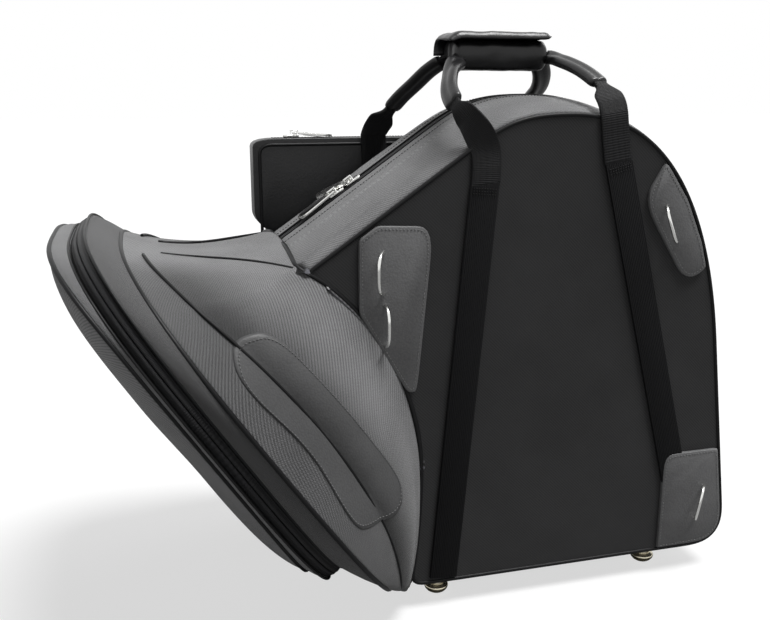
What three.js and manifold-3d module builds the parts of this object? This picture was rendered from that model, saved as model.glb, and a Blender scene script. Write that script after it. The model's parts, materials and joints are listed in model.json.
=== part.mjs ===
// Semi-rigid french horn case with a fixed bell: a flat arched body, a flare that
// widens to a round bell mouth, a zipped bell lid, a zipped top, a pair of carrying
// handles closed by a snap wrap, a sheet music pocket and four domed feet.
// Millimetres, +Z up, +X from the bell to the back, -Y is the side with the rings.

import * as THREE from 'three';
import { mergeVertices } from 'three/addons/utils/BufferGeometryUtils.js';
import Module from 'manifold-3d';

const wasm = await Module();
wasm.setup();

// General fits
const gap = 0.3;
const overrun = 20;
const wall = 12;
const weld = 0.0001;
const mitreShare = 0.4;

// Body, seen from the side
const bodyWidth = 190;
const bodyBottom = 22;
const bodyTopX = 145;
const bodyTopZ = 429;
const bodySlopeEndX = 50;
const bodySlopeEndZ = 398;
const bodySlopeAngle = 34.9;
const bodySlopeReach = 205;
const bodyShoulderPull = 45;
const bodyArchPull = 90;
const bodyBackPull = 122;
const bodyBackX = 298;
const bodyBackZ = 226;
const bodyHeelX = 326;
const bodyHeelRadius = 38;
const bodyFrontX = -45;
const gussetCrown = 14;
const crownFadeZ = 150;
const edgeRound = 2.5;
const pipingSeat = 1.5;
const heelSeamShare = 0.75;

// Seam where the flare is sewn to the body
const seamTopX = -86;
const seamTopZ = 312;
const seamBulgeX = 17;
const seamBulgeZ = 130;
const seamFootX = 8;
const seamPullShares = [0.45, 0.11];
const seamPushShare = 0.53;

// Rings of the flare, the mouth and the lid, each a rounded square in its own plane
const zipRing = { x: -151, z: 190, up: 177, down: 174, side: 169, tilt: 34, power: 3.4 };
const flareRise = 18;
const flareDrop = 2;
const flareSpread = 8;
const startRing = {
  x: -106,
  z: 166,
  up: zipRing.up + flareRise,
  down: zipRing.down + flareDrop,
  side: zipRing.side + flareSpread,
  tilt: 35,
  power: 3.0,
};
const lidSlide = 12;
const lidInset = 5;
const lidDepth = 12;
const lidDepthEnds = 8;
const ringSteps = 48;
const flareBulge = 5;
const neckDip = 9;
const lidDome = 30;
const domeShares = [[0.95, 0.3], [0.82, 0.62], [0.6, 0.88], [0.25, 1]];
const lidPadShare = 0.8;

// Seams drawn across the flare
const stripThroatX = -188;
const stripThroatHalf = 31;
const stripMouthX = -206;
const stripMouthHalf = 68;
const flankTopX = -214;
const flankTopZ = 330;
const flankFootX = -8;
const flankFootZ = 38;
const flankPullShares = [0.55, 0.27];
const flankPushShares = [0.06, 0.31];

// Zippers
const zipHalf = 7;
const tapeThick = 2.4;
const tapeRecess = 1.4;
const toothWide = 2.4;
const toothHigh = 1.6;
const mainZipEndZ = 112;

// Webbing, handles and wrap
const webWide = 25;
const webThick = 2.6;
const rollWide = 11;
const rollThick = 4.4;
const handleLean = 20;
const sleeveWide = 18;
const sleeveThick = 9.5;
const sleeveFootShare = 0.78;
const strapFrontFootX = 38;
const strapFrontTopX = 68;
const strapRearFootX = 282;
const strapRearTopX = 187;
const strapTuckZ = 62;
const barFrontZ = 374;
const barRearZ = 389;
const farRootFrontX = 26;
const farRootFrontZ = 405;
const farRootRearZ = 409;
const wrapFrontX = 70;
const wrapRearX = 156;
const wrapMiddleZ = 477;
const wrapHigh = 26;
const wrapHalf = 18;
const wrapRoundShare = 0.4;
const flapThick = 5;
const flapShort = 2;
const flapTipShare = 0.7;

// Leather patches and rings
const patchThick = 2;
const patchFrontX = -37;
const patchFrontLong = 62;
const patchFrontLow = 203;
const patchFrontHigh = 141;
const patchUpperX = 213;
const patchUpperLow = 278;
const patchUpperHigh = 122;
const patchLowerX = 252;
const patchLowerTop = 120;
const patchWearX = -145;
const patchWearLong = 135;
const patchWearLow = 115;
const patchWearHigh = 163;
const ringWire = 3;
const ringLong = 34;
const ringDeep = 15;
const ringSlotHalf = 4.4;
const ringEndPower = 0.7;
const ringSidePower = 0.75;

// Sliders and pulls
const sliderLong = 15;
const sliderWide = 11;
const sliderThick = 2.4;
const bridgeWide = 2;
const bridgeBar = 1.4;
const bridgeLong = 5.6;
const pullLong = 38;
const pullWide = 13;
const pullThick = 2.2;
const pullEyeHalf = 3.8;
const pullArm = 1.2;
const pullLift = 0.6;
const pullDroop = 4.2;
const pullUpperSplay = -42;
const pullLowerSplay = 8;
const sliderUpperAlong = 72;
const sliderLowerAlong = 90;
const rimSliderDrop = 45;

// Music pocket on the far side
const pocketFrontX = -93;
const pocketLong = 250;
const pocketTop = 402;
const pocketHigh = 320;
const pocketDeep = 24;
const pocketSkin = 3;
const pocketRadius = 24;
const pocketMouth = 8;
const pocketKneeShare = 0.33;

// Feet and skids
const skidThick = 5;
const skidLong = 34;
const footRadius = 11;
const footNeck = 7;
const footY = 72;
const footFrontX = 40;
const footRearX = 252;
const footDome = 8;
const footDomeShares = [[0, 0], [0.3, 0], [0.72, 0.22], [1, 0.75], [1, 1]];
const footWaistShare = 1.15;

// Padding inside
const boardThick = 4;
const padThick = 14;
const cradleHigh = 46;
const cradleFrontX = 45;
const cradleRearX = 255;
const cradleHollow = 30;

function radians(degrees) {
  return degrees * Math.PI / 180;
}

// Solids from loops of points, as closed bodies for joins and cuts

function solidFromArrays(points, triangles) {
  let volume = 0;
  for (const [a, b, c] of triangles) {
    volume += points[a].dot(new THREE.Vector3().crossVectors(points[b], points[c]));
  }
  const vertices = new Float32Array(points.length * 3);
  points.forEach((point, index) => point.toArray(vertices, index * 3));
  const corners = new Uint32Array(triangles.length * 3);
  triangles.forEach(([a, b, c], index) => {
    corners.set(volume < 0 ? [a, c, b] : [a, b, c], index * 3);
  });
  return new wasm.Manifold(new wasm.Mesh({ numProp: 3, vertProperties: vertices, triVerts: corners }));
}

function bridge(triangles, first, second, count) {
  for (let i = 0; i < count; i += 1) {
    const next = (i + 1) % count;
    triangles.push([first + i, first + next, second + i]);
    triangles.push([first + next, second + next, second + i]);
  }
}

function middleOf(loop) {
  const middle = new THREE.Vector3();
  loop.forEach((point) => middle.add(point));
  return middle.divideScalar(loop.length);
}

// A loft through closed loops, with a fan over each end
function loft(loops) {
  const count = loops[0].length;
  const last = (loops.length - 1) * count;
  const points = loops.flat().concat(middleOf(loops[0]), middleOf(loops[loops.length - 1]));
  const firstHub = points.length - 2;
  const lastHub = points.length - 1;
  const triangles = [];
  for (let k = 0; k + 1 < loops.length; k += 1) {
    bridge(triangles, k * count, (k + 1) * count, count);
  }
  for (let i = 0; i < count; i += 1) {
    const next = (i + 1) % count;
    triangles.push([firstHub, next, i]);
    triangles.push([lastHub, last + i, last + next]);
  }
  return solidFromArrays(points, triangles);
}

// A band that closes on itself: the loops are the corners of its section
function hoop(loops) {
  const count = loops[0].length;
  const triangles = [];
  for (let k = 0; k < loops.length; k += 1) {
    bridge(triangles, k * count, ((k + 1) % loops.length) * count, count);
  }
  return solidFromArrays(loops.flat(), triangles);
}

function solidFromGeometry(geometry) {
  const bare = geometry.clone();
  bare.deleteAttribute('normal');
  bare.deleteAttribute('uv');
  const merged = mergeVertices(bare, weld);
  return new wasm.Manifold(new wasm.Mesh({
    numProp: 3,
    vertProperties: new Float32Array(merged.attributes.position.array),
    triVerts: new Uint32Array(merged.index.array),
  }));
}

// A shape drawn in X and Z, pushed through from one Y to the other
function slabY(shape, fromY, toY, steps = 12) {
  const geometry = new THREE.ExtrudeGeometry(shape, {
    depth: toY - fromY,
    bevelEnabled: false,
    curveSegments: steps,
  });
  geometry.rotateX(Math.PI / 2);
  geometry.translate(0, toY, 0);
  return solidFromGeometry(geometry);
}

function block(low, high) {
  const geometry = new THREE.BoxGeometry(high[0] - low[0], high[1] - low[1], high[2] - low[2]);
  geometry.translate((low[0] + high[0]) / 2, (low[1] + high[1]) / 2, (low[2] + high[2]) / 2);
  return solidFromGeometry(geometry);
}

// Body outline in X and Z, with the outward normal of each point

const slopeWay = new THREE.Vector2(Math.cos(radians(bodySlopeAngle)), Math.sin(radians(bodySlopeAngle)));
const slopeNormal = new THREE.Vector2(-slopeWay.y, slopeWay.x);
const slopeEnd = new THREE.Vector2(bodySlopeEndX, bodySlopeEndZ);
const slopeStart = slopeEnd.clone().addScaledVector(slopeWay, -bodySlopeReach);

function bodyOutline() {
  const heel = new THREE.Vector2(bodyHeelX, bodyBottom);
  const back = new THREE.Vector2(bodyBackX, bodyBackZ);
  const backWay = heel.clone().sub(back).normalize();
  const path = new THREE.Path();
  path.moveTo(slopeStart.x, slopeStart.y);
  path.lineTo(slopeEnd.x, slopeEnd.y);
  path.bezierCurveTo(
    slopeEnd.x + slopeWay.x * bodyShoulderPull, slopeEnd.y + slopeWay.y * bodyShoulderPull,
    bodyTopX - bodyShoulderPull, bodyTopZ, bodyTopX, bodyTopZ,
  );
  path.bezierCurveTo(
    bodyTopX + bodyArchPull, bodyTopZ,
    back.x - backWay.x * bodyBackPull, back.y - backWay.y * bodyBackPull, back.x, back.y,
  );
  path.lineTo(heel.x - backWay.x * bodyHeelRadius, heel.y - backWay.y * bodyHeelRadius);
  path.quadraticCurveTo(heel.x, heel.y, heel.x - bodyHeelRadius, heel.y);
  path.lineTo(bodyFrontX, bodyBottom);
  return path.getPoints(7);
}

const outline = bodyOutline();

function outlineNormals(points) {
  return points.map((point, i) => {
    const before = points[(i + points.length - 1) % points.length];
    const after = points[(i + 1) % points.length];
    const a = point.clone().sub(before).normalize();
    const b = after.clone().sub(point).normalize();
    const normal = new THREE.Vector2(-a.y - b.y, a.x + b.x).normalize();
    return normal.divideScalar(Math.max(mitreShare, normal.dot(new THREE.Vector2(-b.y, b.x))));
  });
}

const normals = outlineNormals(outline);

function crownAt(y) {
  const share = Math.min(1, Math.abs(y) / (bodyWidth / 2));
  return gussetCrown * (1 - share * share);
}

// The crown fades out towards the flat bottom
function crownShare(z) {
  return THREE.MathUtils.smoothstep(z, bodyBottom + wall, crownFadeZ);
}

function bodyLoop(y, inset, crown = crownAt(y)) {
  return outline.map((point, i) => {
    const out = crown * crownShare(point.y) - inset;
    return new THREE.Vector3(point.x + normals[i].x * out, y, point.y + normals[i].y * out);
  });
}

const half = bodyWidth / 2;
const crownLevelShares = [0.78, 0.5, 0.22];

function spreadLevels(edge) {
  const inner = crownLevelShares.map((share) => -share * half);
  const near = [-edge, ...inner];
  return [...near, 0, ...near.map((y) => -y).reverse()];
}

function bodySolid(inset, extra = 0) {
  const edge = half - inset + extra;
  const levels = spreadLevels(edge - edgeRound);
  const loops = levels.map((y) => bodyLoop(y, inset));
  loops.unshift(bodyLoop(-edge, inset + edgeRound, 0));
  loops.push(bodyLoop(edge, inset + edgeRound, 0));
  return loft(loops);
}

// The seam curve where the flare joins the body

function seamCurve() {
  const [pullX, pullZ] = seamPullShares;
  const long = seamBulgeX - seamTopX;
  const high = seamTopZ - seamBulgeZ;
  const path = new THREE.Path();
  path.moveTo(seamTopX, seamTopZ);
  path.bezierCurveTo(
    seamTopX + long * pullX, seamTopZ - high * pullZ,
    seamBulgeX, seamTopZ - high * seamPushShare,
    seamBulgeX, seamBulgeZ,
  );
  path.quadraticCurveTo(seamBulgeX, (seamBulgeZ + bodyBottom) / 2, seamFootX, bodyBottom);
  return path;
}

const seam = seamCurve();

// Everything behind the seam, as a shape in X and Z
function behindSeam(forward) {
  const reach = bodyHeelX * 2;
  const shape = new THREE.Shape();
  shape.moveTo(seamTopX - forward, bodyTopZ + reach);
  seam.getPoints(9).forEach((point) => shape.lineTo(point.x - forward, point.y));
  shape.lineTo(seamFootX - forward, -reach);
  shape.lineTo(reach, -reach);
  shape.lineTo(reach, bodyTopZ + reach);
  return slabY(shape, -bodyWidth * 2, bodyWidth * 2);
}

const bodySide = behindSeam(0);
const flareSide = behindSeam(gap);

// Body walls

const bodyOuter = bodySolid(0);
const bodyInner = bodySolid(wall);
const panelEdge = edgeRound + pipingSeat;

function sidePanel(side, grow) {
  const face = side * (half + (grow > 0 ? overrun : 0));
  const faceInset = panelEdge - grow - (grow > 0 ? overrun : 0);
  const inside = side * (half - wall - grow);
  return loft([bodyLoop(face, faceInset, 0), bodyLoop(inside, wall + gap - grow, 0)]);
}

const zipSlot = block([-bodyHeelX, -zipHalf, mainZipEndZ], [bodyHeelX * 2, zipHalf, bodyTopZ * 2]);
const bodyBand = bodyOuter.subtract(bodyInner)
  .subtract(sidePanel(-1, gap))
  .subtract(sidePanel(1, gap))
  .intersect(bodySide);
const bottomCut = bodyBottom + bodyHeelRadius * heelSeamShare;

function gusset(side) {
  const low = [-bodyHeelX, side < 0 ? -bodyWidth : gap / 2, bottomCut + gap];
  const high = [bodyHeelX * 2, side < 0 ? -gap / 2 : bodyWidth, bodyTopZ * 2];
  return bodyBand.intersect(block(low, high)).subtract(zipSlot);
}

const bottomPanel = bodyBand.intersect(
  block([-bodyHeelX, -bodyWidth, 0], [bodyHeelX * 2, bodyWidth, bottomCut]),
);

// Rings of the flare and the lid

function ringLoop(ring, inset, forward, scale = 1) {
  const tilt = radians(ring.tilt);
  const loop = [];
  for (let i = 0; i < ringSteps; i += 1) {
    const angle = 2 * Math.PI * i / ringSteps;
    const c = Math.cos(angle);
    const s = Math.sin(angle);
    const upward = Math.sign(c) * Math.abs(c) ** (2 / ring.power);
    const aside = Math.sign(s) * Math.abs(s) ** (2 / ring.power);
    const up = upward * scale * ((c > 0 ? ring.up : ring.down) - inset);
    loop.push(new THREE.Vector3(
      ring.x - Math.sin(tilt) * up - Math.cos(tilt) * forward,
      -aside * scale * (ring.side - inset),
      ring.z + Math.cos(tilt) * up - Math.sin(tilt) * forward,
    ));
  }
  return loop;
}

// The end of the flare on the body: across the top, down the seam, across the bottom
function bodyEndLoop(inset, back) {
  const loop = [];
  const high = seamTopZ - bodyBottom;
  for (let i = 0; i < ringSteps; i += 1) {
    const turn = 8 * i / ringSteps;
    const side = turn > 4 ? 1 : -1;
    const fold = turn > 4 ? 8 - turn : turn;
    const point = new THREE.Vector3();
    if (fold <= 1) {
      const y = half * fold;
      point.set(seamTopX + slopeNormal.x * crownAt(y), y, seamTopZ + slopeNormal.y * crownAt(y));
    } else if (fold < 3) {
      const flat = seam.getPointAt((fold - 1) / 2);
      point.set(flat.x, half, flat.y);
    } else {
      point.set(seamFootX, half * (4 - fold), bodyBottom);
    }
    const rise = bodyBottom + inset + (point.z - bodyBottom) * (high - 2 * inset) / high;
    loop.push(new THREE.Vector3(point.x + back, side * point.y * (half - inset) / half, rise));
  }
  return loop;
}

function blendLoops(a, b, share) {
  const swell = 4 * share * (1 - share);
  return a.map((point, i) => {
    const angle = 2 * Math.PI * i / ringSteps;
    const c = Math.cos(angle);
    const mixed = point.clone().lerp(b[i], share);
    mixed.y -= Math.sin(angle) * flareBulge * swell;
    mixed.z -= Math.max(0, c) * neckDip * swell;
    return mixed;
  });
}

function flareSolid(inset, forward, back) {
  const start = ringLoop(startRing, inset, forward);
  const end = bodyEndLoop(inset, 0);
  const middle = [0.25, 0.5, 0.75].map((share) => blendLoops(start, end, share));
  return loft([start, ...middle, end, bodyEndLoop(inset, back)]);
}

const flareOuter = flareSolid(0, -gap / 2, overrun);
const flareInner = flareSolid(wall, overrun / 4, overrun * 1.5);
const flareWall = flareOuter.subtract(flareInner).subtract(flareSide);

// The flare is cut into a top strip, two flanks and two lower halves

function topStripCut(grow) {
  const shape = new THREE.Shape();
  const far = bodyWidth;
  const rearHalf = half + grow;
  shape.moveTo(bodyHeelX, rearHalf);
  shape.lineTo(seamTopX, rearHalf);
  shape.quadraticCurveTo((seamTopX + stripThroatX) / 2, stripThroatHalf + grow, stripThroatX, stripThroatHalf + grow);
  shape.lineTo(stripMouthX, stripMouthHalf + grow);
  shape.lineTo(stripMouthX - far, stripMouthHalf + grow);
  shape.lineTo(stripMouthX - far, -stripMouthHalf - grow);
  shape.lineTo(stripMouthX, -stripMouthHalf - grow);
  shape.lineTo(stripThroatX, -stripThroatHalf - grow);
  shape.quadraticCurveTo((seamTopX + stripThroatX) / 2, -stripThroatHalf - grow, seamTopX, -rearHalf);
  shape.lineTo(bodyHeelX, -rearHalf);
  const geometry = new THREE.ExtrudeGeometry(shape, { depth: far, bevelEnabled: false, curveSegments: 5 });
  geometry.translate(0, 0, seamTopZ - bodyHeelRadius * 1.5);
  return solidFromGeometry(geometry);
}

// Above and behind the diagonal seam that runs from the bell to the foot of the body
function flankCut(lift) {
  const shape = new THREE.Shape();
  const far = bodyHeelX;
  const long = flankFootX - flankTopX;
  const high = flankTopZ - flankFootZ;
  const [pullX, pullZ] = flankPullShares;
  const [pushX, pushZ] = flankPushShares;
  shape.moveTo(flankTopX - far, flankTopZ + far / 3 + lift);
  shape.lineTo(flankTopX, flankTopZ + lift);
  shape.bezierCurveTo(
    flankTopX + long * pullX + lift, flankTopZ - high * pullZ,
    flankFootX - long * pushX + lift, flankFootZ + high * pushZ,
    flankFootX + lift, flankFootZ,
  );
  shape.lineTo(flankFootX + lift, -far);
  shape.lineTo(far, -far);
  shape.lineTo(far, far * 2);
  shape.lineTo(flankTopX - far, far * 2);
  return slabY(shape, -bodyWidth * 2, bodyWidth * 2, 7);
}

const stripSolid = topStripCut(0);
const stripGap = topStripCut(gap);
const flareTop = flareWall.intersect(stripSolid);
const flareRest = flareWall.subtract(stripGap);
const flankSolid = flankCut(0);
const flankGap = flankCut(-gap);

function sideOf(solid, side) {
  const low = [-bodyHeelX * 2, side < 0 ? -bodyWidth * 2 : gap / 2, -bodyWidth];
  const high = [bodyHeelX * 2, side < 0 ? -gap / 2 : bodyWidth * 2, bodyTopZ * 2];
  return solid.intersect(block(low, high));
}

function flareFlank(side) {
  return sideOf(flareRest.intersect(flankSolid), side);
}

function flareLower(side) {
  return sideOf(flareRest.subtract(flankGap), side);
}

// The band behind the rim zipper, the lid band and the two zipper tapes

const rimBand = hoop([
  ringLoop(startRing, 0, gap / 2),
  ringLoop(zipRing, 0, -zipHalf),
  ringLoop(zipRing, wall, -zipHalf),
  ringLoop(startRing, wall, gap / 2),
]);

const lidSeat = { ...zipRing };
lidSeat.x -= Math.sin(radians(zipRing.tilt)) * lidSlide;
lidSeat.z += Math.cos(radians(zipRing.tilt)) * lidSlide;

// A loop of the lid: deeper at its top and bottom than at its sides
function lidLoop(inset, forward, scale = 1) {
  const tilt = radians(zipRing.tilt);
  return ringLoop(lidSeat, inset + lidInset, lidDepth + forward, scale).map((point, i) => {
    const c = Math.cos(2 * Math.PI * i / ringSteps);
    const more = lidDepthEnds * c * c * scale;
    point.x -= Math.cos(tilt) * more;
    point.z -= Math.sin(tilt) * more;
    return point;
  });
}

const lidBand = hoop([
  ringLoop(zipRing, 0, zipHalf),
  lidLoop(0, -gap),
  lidLoop(wall, -gap),
  ringLoop(zipRing, wall, zipHalf),
]);

function domeSolid(inset, drop, base) {
  const loops = [lidLoop(inset, base)];
  domeShares.forEach(([scale, rise]) => loops.push(lidLoop(inset, lidDome * rise - drop, scale)));
  return loft(loops);
}

const lidFace = domeSolid(0, 0, 0).subtract(domeSolid(wall, wall, -overrun));
const lidPad = domeSolid(wall + gap * 2, wall + gap * 2, -overrun).intersect(
  loft([lidLoop(0, 0, lidPadShare), lidLoop(0, lidDome, lidPadShare)]),
);

// A tape with its row of teeth on the middle line, as the corners of a section:
// first the distance from the middle line, then the height over the fabric
const tapeFoot = -tapeRecess - tapeThick;
const toothTop = toothHigh - tapeRecess;
const tapeSection = [
  [gap, tapeFoot],
  [zipHalf - gap, tapeFoot],
  [zipHalf - gap, -tapeRecess],
  [toothWide + toothHigh, -tapeRecess],
  [toothWide, toothTop],
  [gap, toothTop],
];

function rimZip(side) {
  return hoop(tapeSection.map(([out, high]) => ringLoop(zipRing, -high, side * out)));
}

// Solids swept along a route: each stop has a place and two directions
function sweep(stops, sectionAt) {
  return loft(stops.map((stop, i) => sectionAt(i / (stops.length - 1), stop).map(([a, b]) => (
    stop.place.clone().addScaledVector(stop.across, a).addScaledVector(stop.up, b)
  ))));
}

function mainZipStops() {
  const crest = bodyLoop(0, 0);
  const stops = [];
  crest.forEach((place, i) => {
    const up = new THREE.Vector3(normals[i].x, 0, normals[i].y).normalize();
    stops.push({ place, up, across: new THREE.Vector3(0, 1, 0) });
  });
  const first = stops[0];
  const second = stops[1];
  first.up = new THREE.Vector3(slopeNormal.x, 0, slopeNormal.y);
  const start = (seamTopX + zipHalf - first.place.x) / (second.place.x - first.place.x);
  first.place = first.place.clone().lerp(second.place, start);
  const run = stops.filter((stop) => stop.place.z > bodyBackZ - gap || stop.place.x < bodyTopX);
  const kept = run.filter((stop) => stop.place.z > bodyBackZ / 2);
  const below = stops[stops.indexOf(kept[kept.length - 1]) + 1];
  const last = kept[kept.length - 1];
  const share = (last.place.z - mainZipEndZ - zipHalf) / (last.place.z - below.place.z);
  const end = { ...below, place: last.place.clone().lerp(below.place, share), up: last.up };
  return [...kept, end];
}

function mainZip(side) {
  const section = tapeSection.map(([out, high]) => [side * out, high]);
  return sweep(mainZipStops(), () => section);
}

// Straps, handle loops and sleeves

const strapY = half + gap + webThick / 2;

function flatSection(wide, thick) {
  return [[-wide / 2, -thick / 2], [wide / 2, -thick / 2], [wide / 2, thick / 2], [-wide / 2, thick / 2]];
}

// Everything above the line through the roots of a handle loop
function aboveRoots(side, lift) {
  const frontX = side < 0 ? strapFrontTopX : farRootFrontX;
  const frontZ = side < 0 ? barFrontZ : farRootFrontZ;
  const rearZ = side < 0 ? barRearZ : farRootRearZ;
  const rise = (rearZ - frontZ) / (strapRearTopX - frontX);
  const levelAt = (x) => frontZ + lift + rise * (x - frontX);
  const shape = new THREE.Shape();
  shape.moveTo(-bodyHeelX, levelAt(-bodyHeelX));
  shape.lineTo(bodyHeelX, levelAt(bodyHeelX));
  shape.lineTo(bodyHeelX, bodyTopZ * 2);
  shape.lineTo(-bodyHeelX, bodyTopZ * 2);
  return slabY(shape, -bodyWidth, bodyWidth);
}

const strapFootZ = bodyBottom + edgeRound * 2;

function strapBlank(side, footX, topX, topZ, grow, startZ = strapFootZ) {
  const foot = new THREE.Vector3(footX, side * strapY, strapFootZ);
  const top = new THREE.Vector3(topX, side * strapY, topZ);
  const way = top.clone().sub(foot).normalize();
  foot.lerp(top, (startZ - strapFootZ) / (topZ - strapFootZ));
  foot.addScaledVector(way, -grow);
  top.addScaledVector(way, webWide / 2);
  const up = new THREE.Vector3(0, side, 0);
  const across = new THREE.Vector3().crossVectors(way, up);
  return sweep(
    [{ place: foot, up, across }, { place: top, up, across }],
    () => flatSection(webWide + grow * 2, webThick + grow * 2),
  );
}

function strapFront(side) {
  const topX = side < 0 ? strapFrontTopX : farRootFrontX;
  const blank = strapBlank(side, strapFrontFootX, topX, side < 0 ? barFrontZ : farRootFrontZ, 0);
  return blank.subtract(aboveRoots(side, 0));
}

function strapRear(side) {
  const topZ = side < 0 ? barRearZ : farRootRearZ;
  const startZ = side < 0 ? strapTuckZ : strapFootZ;
  return strapBlank(side, strapRearFootX, strapRearTopX, topZ, 0, startZ).subtract(aboveRoots(side, 0));
}

// Routes of the two handle loops in shares: lean along X, distance out and rise to the wrap
const frontRouteShares = {
  near: [
    [0, 1, -0.06], [0.05, 1, 0.12], [0, 1, 0.25], [-0.3, 1, 0.38], [-0.65, 0.95, 0.49],
    [-0.93, 0.86, 0.57], [-0.98, 0.75, 0.63], [-0.93, 0.62, 0.7], [-0.78, 0.52, 0.77],
    [-0.5, 0.4, 0.85], [-0.1, 0.28, 0.92], [0.35, 0.15, 0.98],
  ],
  far: [
    [-0.1, 1, 0.22], [0, 1, 0.3], [0.15, 0.98, 0.37], [0.5, 0.84, 0.5], [0.9, 0.67, 0.64],
    [1.35, 0.5, 0.76], [1.8, 0.33, 0.88], [2.25, 0.18, 0.96], [2.5, 0.12, 0.99],
  ],
};
const rearRouteShares = {
  near: [
    [-1.42, 0.15, 0.98], [-1.12, 0.3, 0.94], [-0.8, 0.52, 0.86], [-0.6, 0.7, 0.77],
    [-0.5, 0.85, 0.68], [-0.42, 0.97, 0.56], [-0.35, 1, 0.46], [-0.2, 1, 0.22], [0, 1, -0.06],
  ],
  far: [
    [-1.4, 0.13, 0.97], [-0.95, 0.23, 0.88], [-0.6, 0.36, 0.79], [-0.3, 0.55, 0.69],
    [-0.18, 0.75, 0.6], [-0.08, 0.94, 0.52], [0, 1, 0.44], [0, 1, 0.2], [0, 1, -0.06],
  ],
};
const gripShare = 0.1;

function handleRoute(side) {
  const points = [];
  const place = (x, out, z) => points.push(new THREE.Vector3(x, side * out * strapY, z));
  const name = side < 0 ? 'near' : 'far';
  const frontX = side < 0 ? strapFrontTopX : farRootFrontX;
  frontRouteShares[name].forEach(([lean, out, rise]) => {
    place(frontX + lean * handleLean, out, barFrontZ + rise * (wrapMiddleZ - barFrontZ));
  });
  [0.25, 0.75].forEach((share) => {
    place(wrapFrontX + (wrapRearX - wrapFrontX) * share, gripShare, wrapMiddleZ);
  });
  rearRouteShares[name].forEach(([lean, out, rise]) => {
    place(strapRearTopX + lean * handleLean, out, barRearZ + rise * (wrapMiddleZ - barRearZ));
  });
  return new THREE.CatmullRomCurve3(points, false, 'centripetal');
}

const handleSteps = 44;
const turnEndShare = 0.72;
const turnStartShare = 0.96;

function handleStops(side) {
  const curve = handleRoute(side);
  const stops = [];
  for (let i = 0; i <= handleSteps; i += 1) {
    const place = curve.getPointAt(i / handleSteps);
    const way = curve.getTangentAt(i / handleSteps);
    const lie = 1 - THREE.MathUtils.smoothstep(Math.abs(place.y) / strapY, turnEndShare, turnStartShare);
    const up = new THREE.Vector3(0, side, lie);
    up.addScaledVector(way, -up.dot(way)).normalize();
    stops.push({ place, up, across: new THREE.Vector3().crossVectors(way, up) });
  }
  return stops;
}

// The webbing is flat at its ends and folded into a roll under the sleeves
const rollEndShare = 0.82;
const flatStartShare = 0.93;

function coreSection(stop, grow) {
  const out = Math.abs(stop.place.y) / strapY;
  const flat = THREE.MathUtils.smoothstep(out, rollEndShare, flatStartShare);
  const wide = rollWide + (webWide - rollWide) * flat;
  const thick = rollThick + (webThick - rollThick) * flat;
  return flatSection(wide + grow * 2, thick + grow * 2);
}

function handleLoop(side) {
  return sweep(handleStops(side), (share, stop) => coreSection(stop, 0)).intersect(aboveRoots(side, gap));
}

function roundSection(wide, thick) {
  const corners = [];
  for (let i = 0; i < 8; i += 1) {
    const angle = 2 * Math.PI * (i + 0.5) / 8;
    corners.push([Math.cos(angle) * wide / 2, Math.sin(angle) * thick / 2]);
  }
  return corners;
}

function sleeve(side, atFront) {
  const middleX = (wrapFrontX + wrapRearX) / 2;
  const stops = handleStops(side);
  const inSleeve = (stop) => {
    const out = Math.abs(stop.place.y) / strapY;
    return out < sleeveFootShare && (atFront ? stop.place.x < middleX : stop.place.x > middleX);
  };
  const own = stops.filter(inSleeve);
  const outer = sweep(own, () => roundSection(sleeveWide, sleeveThick));
  const core = sweep(stops, (share, stop) => coreSection(stop, gap));
  const keepLow = atFront ? -bodyHeelX : wrapRearX + gap;
  const keepHigh = atFront ? wrapFrontX - gap : bodyHeelX;
  const kept = outer.intersect(block([keepLow, -bodyWidth, 0], [keepHigh, bodyWidth, bodyTopZ * 2]));
  return kept.subtract(core);
}

// Grip pads around the two loops, and the flap over them

function slabX(shape, fromX, toX, steps = 6) {
  const geometry = new THREE.ExtrudeGeometry(shape, { depth: toX - fromX, bevelEnabled: false, curveSegments: steps });
  geometry.rotateX(Math.PI / 2);
  geometry.rotateZ(Math.PI / 2);
  geometry.translate(fromX, 0, 0);
  return solidFromGeometry(geometry);
}

function gripPad(side) {
  const low = wrapMiddleZ - wrapHigh / 2;
  const high = wrapMiddleZ + wrapHigh / 2;
  const edge = side * wrapHalf;
  const start = side * gap / 2;
  const turn = side * wrapHigh * wrapRoundShare;
  const shape = new THREE.Shape();
  shape.moveTo(start, low);
  shape.lineTo(edge - turn, low);
  shape.quadraticCurveTo(edge, low, edge, wrapMiddleZ);
  shape.quadraticCurveTo(edge, high, edge - turn, high);
  shape.lineTo(start, high);
  const core = sweep(handleStops(side), (share, stop) => coreSection(stop, gap));
  return slabX(shape, wrapFrontX, wrapRearX).subtract(core);
}

function gripFlap() {
  const low = wrapMiddleZ;
  const high = wrapMiddleZ + wrapHigh / 2 + gap;
  const inner = wrapHalf + gap;
  const outer = inner + flapThick;
  const tip = -wrapHalf - flapThick;
  const turn = wrapHigh * wrapRoundShare;
  const shape = new THREE.Shape();
  shape.moveTo(outer, low);
  shape.quadraticCurveTo(outer, high + flapThick, inner - turn, high + flapThick);
  shape.lineTo(tip, high + flapThick * flapTipShare);
  shape.lineTo(tip, high);
  shape.lineTo(inner - turn, high);
  shape.quadraticCurveTo(inner, high, inner, low);
  return slabX(shape, wrapFrontX + flapShort, wrapRearX);
}

// Patches on the near panel and rings that swing in their slots

const patchBack = -(half + gap);
const patchFace = patchBack - patchThick;
const ringY = patchBack - ringWire / 2;

const ringPlaces = {
  ring_front_upper: { x: -16, z: 305.5, lean: 0, rest: -32 },
  ring_front_lower: { x: -16, z: 262, lean: 0, rest: 0 },
  ring_rear_upper: { x: 242, z: 335.5, lean: 21.5, rest: -33 },
  ring_rear_lower: { x: 294.3, z: 67.4, lean: -11, rest: -36 },
};

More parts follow.
